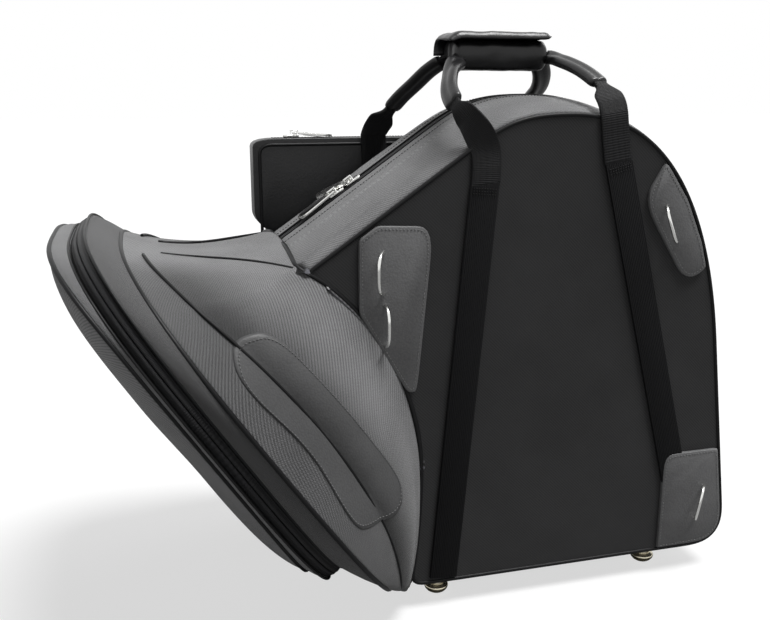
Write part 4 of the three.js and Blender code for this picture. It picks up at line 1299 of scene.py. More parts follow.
BODY_SEAM_DROP = 0.0022
BODY_SEAM_DROP_Z = 0.3
BODY_SEAM_DROP_FADE = (0.024, 0.04)


def make_flare_trim(name, side):
    """The welts across the flare and half of the seam behind it"""
    sizes = trim_sizes()
    diagonal, top = flare_seams(side)
    tube(f"diagonal_welt_{name}", eased(even(diagonal, DIAGONAL_PITCH), 3), sizes.welt, BODY)
    tube(f"strip_welt_{name}", eased(even(top, STRIP_PITCH), 3), sizes.welt, BODY)
    seam = []
    for step in range(BODY_SEAM_STEPS + 1):
        share = BODY_SEAM_FIRST + BODY_SEAM_SPAN * step / BODY_SEAM_STEPS
        point = body_end_point(share if side < 0 else 1 - share, 0.0, 1.0)
        if point.z > BODY_SEAM_DROP_Z:
            point.z -= BODY_SEAM_DROP * (1 - ramp(abs(point.y), *BODY_SEAM_DROP_FADE))
        seam.append(point)
    seam = eased(even(seam, PIPING_PITCH), 3)
    tube(f"body_seam_{name}", seam, sizes.piping, BODY, hint=Vector((1, 0, 0)))


def bell_ring(inset, forward):
    """A closed path along the zipper ring of the bell"""
    return [ring_point(ZIP_RING, turn, inset, forward) for turn in RING_TURNS]


RIM_SWELL = 0.0018
LID_BAND_SWELL = 0.0012
WELT_FORWARD = ZIP_HALF + 0.0006
BAND_GAP = 0.0004


def make_rim():
    """The band behind the bell zipper, with its seam and the welts beside the zipper"""
    sizes = trim_sizes()
    loops = band_loops(
        lambda turn, inset: ring_point(START_RING, turn, inset, 0.0),
        lambda turn, inset: ring_point(ZIP_RING, turn, inset, -ZIP_HALF),
        RIM_SWELL, (0.02, 0.1, 0.25, 0.5, 0.75, 0.9, 0.98), (0.98, 0.5, 0.02),
    )
    # The band's darker nylon is painted shade
    ring_band("rim_band_cover", loops, "band", BODY, "rim_band")
    seam = [ring_point(START_RING, turn, 0.0, GAP) for turn in RING_TURNS]
    tube("rim_seam", seam, sizes.piping, BODY, closed=True)
    tube("rim_zip_welt", bell_ring(-0.0002, -WELT_FORWARD), sizes.welt * 0.8, BODY, closed=True)
    tube("lid_zip_welt", bell_ring(-0.0002, WELT_FORWARD), sizes.welt * 0.8, LID, closed=True)


# The dome of the lid, and the cushion inside: its height and width as shares of the dome's

DOME_POWER = 3.2
DOME_ROUND = 0.8
CUSHION_HIGH = 0.62
CUSHION_WIDE = 0.82
CUSHION_FRONT = -0.001
CUSHION_BACK = -0.004
CUSHION_SWELL = 0.006


def make_lid():
    """The lid of the bell: band, domed face, seam and the pad inside"""
    loops = band_loops(
        lambda turn, inset: ring_point(ZIP_RING, turn, inset, ZIP_HALF + BAND_GAP),
        lambda turn, inset: lid_point(turn, inset, -BAND_GAP),
        LID_BAND_SWELL, (0.0, 0.12, 0.5, 0.88, 1.0), (1.0, 0.0),
    )
    ring_band("lid_band_cover", loops, "shell", LID, "lid_band")
    seam = [lid_point(turn, 0.0, 0.0) for turn in RING_TURNS]
    tube("lid_seam", seam, trim_sizes().piping, LID, closed=True)

    def domed(scale):
        return LID_DOME * (1 - scale ** DOME_POWER) ** DOME_ROUND

    def dome(u, v):
        scale = max(1.0 - v, 0.0)
        return lid_point(u, 0.0, domed(scale), scale)

    bm = grid(dome, 144, 40, wide=1.0, long=0.17, wrap=True)
    weld(bm)
    soften(bm, depth=0.0016, scale=8.0, seed=11.0)
    inside = Vector((-0.15 + SHIFT, 0.0, 0.19))
    lined("lid_face_cover", bm, inside, LID, ["lid_face"])

    def cushion(u, v):
        inset = WALL + 0.001
        if v < 0.5:
            scale = 1 - 2 * v
            return lid_point(u, inset, CUSHION_FRONT + CUSHION_HIGH * domed(scale), CUSHION_WIDE * scale)
        scale = 2 * v - 1
        back = CUSHION_BACK - CUSHION_SWELL * (1 - scale * scale)
        return lid_point(u, inset, back, CUSHION_WIDE * scale)

    bm = grid(cushion, 96, 40, wide=1.0, long=0.3, wrap=True)
    weld(bm)
    outward(bm)
    mesh = to_mesh(bm, "lid_cushion")
    piece = finish_piece("lid_cushion", mesh, "plush", LID, ["lid_pad"])


# Corners of the wear patch in X and Z

WEAR = [
    (-0.145, 0.273), (-0.143, 0.246), (-0.0915, 0.1885), (-0.062, 0.129), (-0.050, 0.115), (-0.011, 0.118),
    (-0.010, 0.142), (-0.0615, 0.2165), (-0.114, 0.278),
]
WEAR_MIDDLE = Vector((-0.075, 0.190))
WEAR_THICK = 0.0014
WEAR_EDGE = 0.96
WEAR_WALL = 0.0012
WEAR_SUNK = 0.0002
WEAR_SEAM = 0.94
WEAR_SEAM_STEPS = 160


def rounded(corners, pull):
    """A closed outline whose corners are rounded off"""
    points = []
    total = len(corners)
    for spot, corner in enumerate(corners):
        here = Vector(corner)
        before = here.lerp(Vector(corners[(spot - 1) % total]), pull)
        after = here.lerp(Vector(corners[(spot + 1) % total]), pull)
        points += [before] + quadratic(before, here, after, 8)
    return points


def make_wear_patch(name, side, flare):
    """A leather patch that lies on the swell of the flare"""
    bm = bmesh.new()
    bm.from_mesh(flare.data)
    tree = BVHTree.FromBMesh(bm)
    bm.free()
    outline = rounded(WEAR, 0.4)
    line = outline + outline[:1]

    def project(share, reach, out):
        """The flare under a place between the middle of the patch and its edge"""
        flat = WEAR_MIDDLE.lerp(along_line(line, share), reach)
        start = at(flat.x, side * 0.4, flat.y)
        hit, normal, _, _ = tree.ray_cast(start, Vector((0, -side, 0)))
        if hit is None:
            raise RuntimeError("the wear patch misses the flare")
        if normal.y * side < 0:
            normal = -normal
        return hit + normal * out

    def place(u, v):
        reach = max(1.0 - v, 0.0)
        fall = max(0.0, reach - WEAR_EDGE) / (1 - WEAR_EDGE)
        return project(u, reach, WEAR_THICK * math.sqrt(max(0.0, 1 - fall ** 2)) - WEAR_SUNK)

    bm = grid(place, 120, 30, wide=0.4, long=0.1, wrap=True)
    weld(bm)
    outward(bm)
    flip_to(bm, FLARE_INSIDE)
    mesh = to_mesh(bm, "wear_patch_" + name)
    node = f"flare_wear_patch_{name}"
    # Its darker leather is painted shade
    piece = finish_piece(f"wear_patch_{name}_leather", mesh, "wear", BODY, [node])
    thicken(piece, WEAR_WALL)
    marks = [step / WEAR_SEAM_STEPS for step in range(WEAR_SEAM_STEPS + 1)]
    path = [project(mark, WEAR_SEAM, WEAR_THICK + 0.0001) for mark in marks]
    stitches(f"wear_patch_{name}_stitches", [path], BODY)


# Zippers


# Section of a tape and its coil: distance from the middle of the zipper, and height

ZIP_PROFILE = [
    (0.0003, -0.0036), (0.0068, -0.0036), (0.0068, -0.0013), (0.0042, -0.0013),
    (0.0034, -0.0002), (0.0022, 0.0002), (0.0008, 0.0002), (0.0003, -0.0006),
]


def zip_half(stops, name, body, side, node, closed=False):
    """One tape with its coil, swept along its zipper; side is +1 or -1"""
    sides = len(ZIP_PROFILE)

    def section(u, v):
        across, up = ZIP_PROFILE[int(round(u * sides)) % sides]
        return side * across, up

    bm = swept(stops, section, sides, 0.02, closed)
    finish_piece(name, to_mesh(bm, name), "coil", body, [node])


BELL_ZIP_STEPS = 220
MAIN_ZIP_MARKS = [step / 160 for step in range(161)]
MAIN_ZIP_LOOK = 0.004
GUSSET_SEAM_Y = 0.0215


def ring_stops():
    """Stops along the bell zipper, with the tapes lying across its ring"""
    stops = []
    for step in range(BELL_ZIP_STEPS):
        turn = step / BELL_ZIP_STEPS
        point = ring_point(ZIP_RING, turn, 0.0, 0.0)
        forward = (ring_point(ZIP_RING, turn, 0.0, 1.0) - point).normalized()
        out = (ring_point(ZIP_RING, turn, -0.01, 0.0) - point).normalized()
        stops.append((point, forward, out))
    return stops


def main_zip_stops():
    """Stops along the main zipper, from the flare to the closed part of the back"""
    stops = []
    for share in MAIN_ZIP_MARKS:
        ahead = body_surface(0.0, min(1.0, share + MAIN_ZIP_LOOK), 0.0, ZIP_END_Z)
        behind = body_surface(0.0, max(0.0, share - MAIN_ZIP_LOOK), 0.0, ZIP_END_Z)
        across = Vector((0, 1, 0))
        up = (ahead - behind).normalized().cross(across).normalized()
        stops.append((body_surface(0.0, share, 0.0, ZIP_END_Z), across, up))
    return stops


def make_zippers():
    """The tapes of both zippers, and the welts and stitches beside the main one"""
    welt = trim_sizes().welt * 0.7
    stops = main_zip_stops()
    for name, side in SIDES.items():
        zip_half(stops, f"main_zip_{name}_coil", BODY, side, f"main_zip_{name}")
        edge = [p + across * (side * (ZIP_HALF + 0.0004)) + up * 0.0001 for p, across, up in stops]
        tube(f"main_zip_{name}_welt", edge, welt, BODY)
        path = [body_surface(side * GUSSET_SEAM_Y, 0.004 + 0.99 * mark, GAP) for mark in MAIN_ZIP_MARKS]
        stitches(f"gusset_{name}_stitches", [path], BODY, "dark_thread")
    ring = ring_stops()
    zip_half(ring, "rim_zip_lid_coil", LID, 1, "rim_zip_lid", closed=True)
    zip_half(ring, "rim_zip_body_coil", BODY, -1, "rim_zip_body", closed=True)


METAL_EDGE = 0.0004


def make_sliders():
    """The four sliders and their pulls"""
    for place in ("upper", "lower", "rim", "pocket"):
        for node in (f"slider_{place}", f"pull_{place}"):
            dressed(node, "nickel", node, METAL_EDGE, 3)
        make_inlay(place)


# Pulls: their thickness, and the drop of leather by its distances from the pin

PULL_THICK = 0.0022
INLAY_HIGH = 0.0004
INLAY_MIDDLE = 0.0225
INLAY_REACH = 0.0135
INLAY_START = 0.009
INLAY_LONG = 0.027
INLAY_NARROW = 0.0032
INLAY_WIDENS = 0.0017
INLAY_STEPS = 48


def inlay_outline():
    """The drop shape in a pull: distance from the pin and distance aside"""
    outline = []
    for step in range(INLAY_STEPS):
        angle = 2 * math.pi * step / INLAY_STEPS
        along = INLAY_MIDDLE + INLAY_REACH * math.cos(angle)
        wide = INLAY_NARROW + INLAY_WIDENS * (along - INLAY_START) / INLAY_LONG
        outline.append((along, wide * math.sin(angle) * (1.15 - 0.15 * math.cos(angle))))
    return outline


def make_inlay(place):
    """The black leather drop set in both faces of a pull"""
    solid = frame["nodes"][f"pull_{place}"].data
    joint = next(j for j in frame["joints"] if j["name"] == f"pull_{place}_lift")
    pin = Vector(joint["pos_m"])
    side = Vector(joint["axis"]).normalized()
    far = max((v.co for v in solid.vertices), key=lambda co: (co - pin).length)
    way = ((far - pin) - side * (far - pin).dot(side)).normalized()
    up = way.cross(side)
    outline = inlay_outline()
    bm = bmesh.new()
    for face_side in (-1, 1):
        base = pin + up * (face_side * PULL_THICK / 2)
        verts = [bm.verts.new(base + way * along + side * aside) for along, aside in outline]
        made = bmesh.ops.extrude_face_region(bm, geom=[bm.faces.new(verts)])
        raised = [g for g in made["geom"] if isinstance(g, bmesh.types.BMVert)]
        bmesh.ops.translate(bm, verts=raised, vec=up * (face_side * INLAY_HIGH))
    outward(bm)
    mesh = to_mesh(bm, "inlay")
    finish_piece(f"pull_{place}_inlay", mesh, "gloss", f"pull_{place}", smooth=False)


# Straps, handles and grip

# Routes of the handle loops in shares: lean along X, distance from the middle, and rise to the wrap

FRONT_ROUTES = {
    -1: [
        (0, 1, -0.06), (0.05, 1, 0.12), (0, 1, 0.25), (-0.3, 1, 0.38), (-0.65, 0.95, 0.49),
        (-0.93, 0.86, 0.57), (-0.98, 0.75, 0.63), (-0.93, 0.62, 0.7), (-0.78, 0.52, 0.77),
        (-0.5, 0.4, 0.85), (-0.1, 0.28, 0.92), (0.35, 0.15, 0.98),
    ],
    1: [
        (-0.1, 1, 0.22), (0, 1, 0.3), (0.15, 0.98, 0.37), (0.5, 0.84, 0.5), (0.9, 0.67, 0.64),
        (1.35, 0.5, 0.76), (1.8, 0.33, 0.88), (2.25, 0.18, 0.96), (2.5, 0.12, 0.99),
    ],
}
REAR_ROUTES = {
    -1: [
        (-1.42, 0.15, 0.98), (-1.12, 0.3, 0.94), (-0.8, 0.52, 0.86), (-0.6, 0.7, 0.77), (-0.5, 0.85, 0.68),
        (-0.42, 0.97, 0.56), (-0.35, 1, 0.46), (-0.2, 1, 0.22), (0, 1, -0.06),
    ],
    1: [
        (-1.4, 0.13, 0.97), (-0.95, 0.23, 0.88), (-0.6, 0.36, 0.79), (-0.3, 0.55, 0.69), (-0.18, 0.75, 0.6),
        (-0.08, 0.94, 0.52), (0, 1, 0.44), (0, 1, 0.2), (0, 1, -0.06),
    ],
}


def through(points, steps):
    """A smooth line through points that doesn't overshoot at uneven distances"""
    line = [points[0]]
    total = len(points)
    for spot in range(total - 1):
        p1, p2 = points[spot], points[spot + 1]
        p0 = points[spot - 1] if spot > 0 else p1 * 2 - p2
        p3 = points[spot + 2] if spot + 2 < total else p2 * 2 - p1
        d0, d1, d2 = ((b - a).length ** 0.5 for a, b in ((p0, p1), (p1, p2), (p2, p3)))
        t1 = ((p1 - p0) / d0 - (p2 - p0) / (d0 + d1) + (p2 - p1) / d1) * d1
        t2 = ((p2 - p1) / d1 - (p3 - p1) / (d1 + d2) + (p3 - p2) / d2) * d1
        for step in range(1, steps + 1):
            t = step / steps
            line.append(
                p1 + t1 * t + (p1 * -3 + p2 * 3 - t1 * 2 - t2) * t**2 + (p1 * 2 - p2 * 2 + t1 + t2) * t**3
            )
    return line


def loop_route(side):
    """The middle line of a handle loop, from its front root over the grip to its rear root"""
    front_x = STRAP_FRONT_TOP_X if side < 0 else FAR_ROOT_FRONT_X
    points = []
    for lean, out, rise in FRONT_ROUTES[side]:
        z = BAR_FRONT_Z + rise * (WRAP_Z - BAR_FRONT_Z)
        points.append(at(front_x + lean * HANDLE_LEAN, side * out * STRAP_Y, z))
    for share in (0.25, 0.75):
        points.append(at(WRAP_FRONT_X + (WRAP_REAR_X - WRAP_FRONT_X) * share, side * 0.1 * STRAP_Y, WRAP_Z))
    for lean, out, rise in REAR_ROUTES[side]:
        z = BAR_REAR_Z + rise * (WRAP_Z - BAR_REAR_Z)
        points.append(at(STRAP_REAR_TOP_X + lean * HANDLE_LEAN, side * out * STRAP_Y, z))
    return through(points, 8)


LOOP_TWIST = math.radians(62)


def loop_stops(side, points):
    """Stops along a handle loop; its near front leg is twisted and shows its edge"""
    def lean(spot):
        return Vector((0, side, 1 - ramp(abs(points[spot].y) / STRAP_Y, 0.72, 0.96)))

    stops = []
    for point, across, up in stops_along(points, False, lean):
        out = abs(point.y) / STRAP_Y
        if side < 0 and point.x - SHIFT < 0.1:
            rise = (point.z - BAR_FRONT_Z) / (WRAP_Z - BAR_FRONT_Z)
            twist = LOOP_TWIST * ramp(out, 0.2, 0.45) * ramp(rise, 0.2, 0.6)
            turn = Matrix.Rotation(twist, 3, across.cross(up))
            across, up = turn @ across, turn @ up
        stops.append((point, across, up))
    return stops


def above_roots(bm, side):
    """Cuts a handle loop off along the line through its roots"""
    if side < 0:
        front = at(STRAP_FRONT_TOP_X, 0, BAR_FRONT_Z)
    else:
        front = at(FAR_ROOT_FRONT_X, 0, FAR_ROOT_FRONT_Z)
    rear = at(STRAP_REAR_TOP_X, 0, BAR_REAR_Z if side < 0 else FAR_ROOT_REAR_Z)
    normal = Vector((0, 1, 0)).cross(rear - front).normalized()
    if normal.z < 0:
        normal = -normal
    bmesh.ops.bisect_plane(
        bm, geom=bm.verts[:] + bm.edges[:] + bm.faces[:], dist=1e-7,
        plane_co=front - normal * 0.001, plane_no=normal, clear_inner=True,
    )
    close_ends(bm)
    outward(bm)


# The webbing where it is rolled, and the sleeves over it

ROLLED_WIDE = 0.011
ROLLED_THICK = 0.0044
SLEEVE_END_OUT = 0.79
SLEEVE_WIDE = 0.0176
SLEEVE_THICK = 0.0094
SLEEVE_SEAM_ASIDE = 0.0084
SLEEVE_SEAM_UP = 0.0006


def make_loop(name, side):
    """A handle loop: flat webbing at its roots, rolled under the sleeves and the grip"""
    body = f"handle_{name}"
    stops = loop_stops(side, loop_route(side))

    def change(v):
        point = stops[int(round(v * (len(stops) - 1)))][0]
        flat = ramp(abs(point.y) / STRAP_Y, 0.82, 0.93)
        wide = ROLLED_WIDE + (WEB_WIDE - ROLLED_WIDE) * flat
        return wide, ROLLED_THICK + (WEB_THICK - ROLLED_THICK) * flat

    section = Section(WEB_WIDE, WEB_THICK, 6.0, change)
    bm = swept(stops, section, 20, section.girth)
    above_roots(bm, side)
    mesh = to_mesh(bm, "loop")
    finish_piece(f"loop_{name}_webbing", mesh, "webbing", body, [f"handle_loop_{name}"])
    covered = [stop for stop in stops if abs(stop[0].y) / STRAP_Y < SLEEVE_END_OUT]
    make_sleeve(name, "front", body, [stop for stop in covered if stop[0].x - SHIFT < WRAP_FRONT_X])
    make_sleeve(name, "rear", body, [stop for stop in covered if stop[0].x - SHIFT > WRAP_REAR_X])


def make_sleeve(name, part, body, stops):
    """A leather sleeve rolled round the webbing, with its seam along one side"""
    def change(v):
        end = min(v, 1 - v)
        swell = 0.88 + 0.12 * min(1.0, end / 0.05) ** 0.5
        return SLEEVE_WIDE * swell, SLEEVE_THICK * swell

    section = Section(SLEEVE_WIDE, SLEEVE_THICK, 2.2, change, 0.3)
    bm = swept(stops, section, 32, section.girth)
    node = f"sleeve_{part}_{name}"
    finish_piece(node + "_leather", to_mesh(bm, "sleeve"), "gloss", body, [node])
    seam = [point + across * SLEEVE_SEAM_ASIDE + up * SLEEVE_SEAM_UP for point, across, up in stops[2:-2]]
    stitches(node + "_stitches", [seam], body, "dark_thread")


def pad_outline(side):
    """The outline of one half of the grip in Y and Z"""
    low, high = WRAP_Z - WRAP_HIGH / 2, WRAP_Z + WRAP_HIGH / 2
    edge = side * WRAP_HALF
    start = side * 0.00015
    turn = side * WRAP_TURN
    points = [Vector((start, low))]
    points += straight(points[-1], Vector((edge - turn, low)), 3)
    points += quadratic(points[-1], Vector((edge, low)), Vector((edge, WRAP_Z)), 7)
    points += quadratic(points[-1], Vector((edge, high)), Vector((edge - turn, high)), 7)
    points += straight(points[-1], Vector((start, high)), 3)
    return points


def skinned(rows):
    """A closed form over a row of outlines that have as many points each"""
    bm = bmesh.new()
    rings = [[bm.verts.new(point) for point in row] for row in rows]
    for before, after in zip(rings, rings[1:]):
        for spot in range(len(before)):
            beside = (spot + 1) % len(before)
            bm.faces.new([before[spot], before[beside], after[beside], after[spot]])
    bm.faces.new(rings[0][::-1])
    bm.faces.new(rings[-1])
    outward(bm)
    return bm


def quarter(share):
    """Rises from 0 to 1 like a quarter of a circle"""
    return (1 - (1 - share) ** 2) ** 0.5


def grip_piece(name, rings, body, node):
    """A padded piece of the grip"""
    bm = skinned(rings)
    soften(bm, depth=0.0007, scale=70.0, seed=3.0)
    finish_piece(name, to_mesh(bm, name), "gloss", body, [node])


PAD_STEPS = 36
PAD_END = 0.07
PAD_STITCH_IN = 0.007


def make_grip():
    """The two pads of the grip, short rows of stitches near their ends, and the flap"""
    for name, side in SIDES.items():
        outline = pad_outline(side)
        rings = []
        for step in range(PAD_STEPS + 1):
            along = step / PAD_STEPS
            full = 0.8 + 0.2 * quarter(min(1.0, min(along, 1 - along) / PAD_END))
            x = WRAP_FRONT_X + (WRAP_REAR_X - WRAP_FRONT_X) * along
            start = side * 0.0004
            rings.append([at(x, start + p.x * full, WRAP_Z + (p.y - WRAP_Z) * full) for p in outline])
        node = f"grip_pad_{name}"
        grip_piece(node + "_leather", rings, f"handle_{name}", node)
        rows = []
        y = side * (WRAP_HALF + 0.0002)
        for x in (WRAP_FRONT_X + PAD_STITCH_IN, WRAP_REAR_X - PAD_STITCH_IN):
            rows.append([at(x, y, WRAP_Z - 0.0085 + 0.0025 * step) for step in range(4)])
        stitches(node + "_stitches", rows, f"handle_{name}", "dark_thread")
    make_flap()


FLAP_STEPS = 44
FLAP_FRONT = 0.008
FLAP_SAG = 0.0035
FLAP_SAG_END = 0.13
FLAP_BEND_STEPS = 10


def flap_under():
    """The underside of the flap in Y and Z, from the far side over the top to the near edge"""
    high = WRAP_Z + WRAP_HIGH / 2 + GAP
    inner = WRAP_HALF + GAP
    start = Vector((inner, WRAP_Z))
    tip = Vector((-WRAP_HALF - FLAP_THICK, high))
    bend = quadratic(start, Vector((inner, high)), Vector((inner - WRAP_TURN, high)), FLAP_BEND_STEPS)
    return [start] + bend + straight(bend[-1], tip, 12)


def make_flap():
    """The padded flap over the top of the two pads, turned down along the far one"""
    under = flap_under()
    front = WRAP_FRONT_X - FLAP_FRONT
    rings = []
    for step in range(FLAP_STEPS + 1):
        along = step / FLAP_STEPS
        full = 0.12 + 0.88 * quarter(min(1.0, along / 0.1, (1 - along) / 0.05))
        drop = FLAP_SAG * ramp(FLAP_SAG_END - along, 0.0, FLAP_SAG_END)
        x = front + (WRAP_REAR_X - front) * along
        low, top = [], []
        for spot, point in enumerate(under):
            across = spot / (len(under) - 1)
            puff = quarter(min(1.0, across / 0.08, (1 - across) / 0.12))
            bend = math.pi / 2 * min(1.0, spot / FLAP_BEND_STEPS)
            way = Vector((math.cos(bend), math.sin(bend)))
            base = point + way * (FLAP_THICK * 0.5 * (1 - full)) - Vector((0, drop * across))
            low.append(at(x, base.x, base.y))
            base = base + way * (FLAP_THICK * (0.3 + 0.95 * puff) * full)
            top.append(at(x, base.x, base.y))
        rings.append(low + top[::-1])
    grip_piece("grip_flap_leather", rings, "flap", "grip_flap")


WEB_EDGE = 0.0007
BAR_HALF = 0.0105
BAR_PITCH = 0.0022
BAR_DOWN = 0.004
BAR_STITCH = 0.0024


def make_straps():
    """The webbing on both sides of the body, with rows of stitches below the roots of the loops"""
    for name, side in SIDES.items():
        finish = "strap_front" if side < 0 else "strap_front_far"
        dressed(f"strap_front_{name}", finish, BODY, WEB_EDGE, 2)
        dressed(f"strap_rear_{name}", "strap_rear", BODY, WEB_EDGE, 2)
        face = side * (STRAP_Y + WEB_THICK / 2 + 0.0002)
        places = [(STRAP_REAR_TOP_X, BAR_REAR_Z if side < 0 else FAR_ROOT_REAR_Z, REAR_LEAN)]
        if side < 0:
            places.append((STRAP_FRONT_TOP_X, BAR_FRONT_Z, FRONT_LEAN))
        rows = []
        for x, z, tilt in places:
            lean = math.radians(tilt)
            way = Vector((math.sin(lean), math.cos(lean)))
            over = Vector((way.y, -way.x)) * BAR_HALF
            base = Vector((x, z)) - way * BAR_DOWN
            for bar in range(3):
                here = base - way * (BAR_PITCH * bar)
                rows.append([at(p.x, face, p.y) for p in (here - over, here + over)])
        stitches(f"strap_bars_{name}", rows, BODY, "dark_thread", pitch=BAR_STITCH)


# Patches, rings, pocket, base and padding


def ring_turn(lean, rest):
    """How a ring stands in its patch, from its lean and its swing at rest"""
    lean_turn = Matrix.Rotation(math.radians(-lean), 3, "Y")
    return lean_turn @ Matrix.Rotation(math.radians(rest), 3, "Z")


def ring_path(swing, x, z):
    """The middle of a ring's wire: straight in the patch and bowed outside it"""
    centre = at(x, -(HALF + GAP + RING_WIRE / 2), z)
    points = []
    for step in range(64):
        angle = 2 * math.pi * step / 64
        c, s = math.cos(angle), math.sin(angle)
        along = RING_LONG / 2 * math.copysign(abs(c) ** 0.7, c)
        out = RING_DEEP * s**0.75 if s > 0 else 0.0
        points.append(centre + swing @ Vector((0, -out, along)))
    return points


def make_rings():
    """The four wires that swing in the patches"""
    section = Section(RING_WIRE, RING_WIRE)
    for name, (x, z, lean, rest) in RINGS.items():
        swing = ring_turn(lean, rest)
        path = even(ring_path(swing, x, z), 0.0014, True)
        stops = stops_along(path, True, swing @ Vector((1, 0, 0)))
        bm = swept(stops, section, 12, section.girth, True)
        finish_piece(f"{name}_wire", to_mesh(bm, "ring"), "nickel", name, [name])


def convex(points):
    """The outer corners of a set of points"""
    ordered = sorted(set((round(p.x, 6), round(p.y, 6)) for p in points))

    def chain(line):
        kept = []
        for p in line:
            while len(kept) > 1:
                a, b = kept[-2], kept[-1]
                if (b[0] - a[0]) * (p[1] - a[1]) - (b[1] - a[1]) * (p[0] - a[0]) > 0:
                    break
                kept.pop()
            kept.append(p)
        return kept[:-1]

    return [Vector(p) for p in chain(ordered) + chain(ordered[::-1])]


# Patches lie on the panel with their rim turned down; the face stands this far out

PATCH_FACE_Y = -HALF - 0.0034
PATCH_BACK_Y = -HALF - 0.0002
PATCH_PITCH = 0.003
PATCH_SEAM_IN = 0.0026

# Rows of the rim: how far each is drawn in, and its share of the way to the panel

PATCH_RIM = ((0.0, 1.0), (0.0, 0.35), (0.0003, 0.1), (0.0009, 0.0))


def patch_rim(node, inset):
    """Even points along the rim of a patch, drawn in by a margin, on its face"""
    solid = frame["nodes"][node].data
    hull = convex([Vector((v.co.x, v.co.z)) for v in solid.vertices])
    middle = sum(hull, Vector((0, 0))) / len(hull)
    drawn = []
    for spot, here in enumerate(hull):
        before, after = hull[spot - 1], hull[(spot + 1) % len(hull)]
        way = (here - before).normalized() + (after - here).normalized()
        normal = Vector((-way.y, way.x)).normalized()
        if normal.dot(middle - here) < 0:
            normal = -normal
        point = here + normal * inset
        drawn.append(Vector((point.x, 0, point.y)))
    return [Vector((p.x, PATCH_FACE_Y, p.z)) for p in even(drawn + drawn[:1], PATCH_PITCH)[:-1]]


def along_path(path, far):
    """The point of a path at a length from its start"""
    for first, second in zip(path, path[1:]):
        step = (second - first).length
        if far <= step and step > 0:
            return first.lerp(second, far / step)
        far -= step
    return path[-1]


def make_patches():
    """Leather patches, sewn down round the rim, with the wires of the rings coming out through them"""
    back = Vector((0, PATCH_BACK_Y - PATCH_FACE_Y, 0))
    for node in ("patch_front", "patch_rear_upper", "patch_rear_lower"):
        rows = [[p + back * down for p in patch_rim(node, inset)] for inset, down in PATCH_RIM]
        count = min(len(row) for row in rows)
        rings = []
        for row in rows:
            path = row + row[:1]
            size = path_length(path)
            rings.append([along_path(path, size * spot / count) for spot in range(count)])
        mesh = to_mesh(skinned(rings), node)
        finish_piece(f"{node}_leather", mesh, "leather", BODY, [node])
        mark_sharp(mesh, 50.0)
        thread = Vector((0, trim_sizes().thread * 0.2, 0))
        path = [p - thread for p in patch_rim(node, PATCH_SEAM_IN)]
        stitches(f"{node}_stitches", [path + path[:1]], BODY, up=Vector((0, -1, 0)))


POCKET_MOUTH_HALF = 0.0058
POCKET_PIPING = 0.0016
POCKET_EDGE_DOWN = 0.006


def make_pocket():
    """The music pocket: leather shell, zipper, stitches along its mouth and piping on its edge"""
    dressed("pocket_shell", "pocket", BODY, 0.004, 4, angle=35.0)
    dressed("pocket_zip", "coil", BODY, 0.0004, 2)
    low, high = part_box("pocket_shell")
    paths = []
    for aside in (-POCKET_MOUTH_HALF, POCKET_MOUTH_HALF):
        y = (low.y + high.y) / 2 + aside
        paths.append([Vector((x, y, high.z + 0.0001)) for x in (low.x + 0.02, high.x - 0.02)])
    stitches("pocket_mouth_stitches", paths, BODY, "dark_thread")
    near = low.y - 0.0004
    top = high.z - POCKET_EDGE_DOWN
    edge = [Vector((low.x + 0.0075, near, low.z + 0.03)), Vector((low.x + 0.0065, near, high.z - 0.016))]
    corner = Vector((low.x + 0.006, near, top))
    edge += quadratic(edge[-1], corner, Vector((low.x + 0.018, near, top)), 8)
    edge += straight(edge[-1], Vector((high.x - 0.012, near, top)), 8)
    hint = Vector((0, 1, 0))
    tube("pocket_piping", even(edge, PIPING_PITCH), POCKET_PIPING, BODY, hint=hint)


def make_base():
    """The two skids and the four feet"""
    for place in ("front", "rear"):
        dressed(f"skid_{place}", "skid", BODY, 0.0015, 3)
        for side in SIDES:
            make_foot(f"foot_{place}_{side}")


# Half section of a foot: share of the radius and share of its height, then the neck

FOOT_PROFILE = [
    (0.0, 0.0), (0.3, 0.0), (0.42, 0.03), (0.62, 0.13), (0.8, 0.3), (0.93, 0.52), (0.99, 0.72),
    (1.0, 0.82), (0.985, 0.92), (0.93, 1.0), (0.7, 1.06), (0.636, 1.12),
]
FOOT_HIGH = 0.008


def make_foot(node):
    """A turned foot: a low dome under a short neck"""
    low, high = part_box(node)
    middle = (low + high) / 2
    radius = (high.x - low.x) / 2
    places = [(radius * out, low.z + FOOT_HIGH * rise) for out, rise in FOOT_PROFILE]
    places += [(places[-1][0], high.z), (0.0, high.z)]
    bm = bmesh.new()
    verts = [bm.verts.new(Vector((middle.x + out, middle.y, z))) for out, z in places]
    edges = [bm.edges.new(pair) for pair in zip(verts, verts[1:])]
    bmesh.ops.spin(
        bm, geom=verts + edges, cent=Vector((middle.x, middle.y, 0)), axis=Vector((0, 0, 1)),
        angle=2 * math.pi, steps=40, use_merge=True,
    )
    weld(bm)
    outward(bm)
    mesh = to_mesh(bm, node)
    finish_piece(f"{node}_dome", mesh, "brass", BODY, [node])
    mark_sharp(mesh, 40.0)


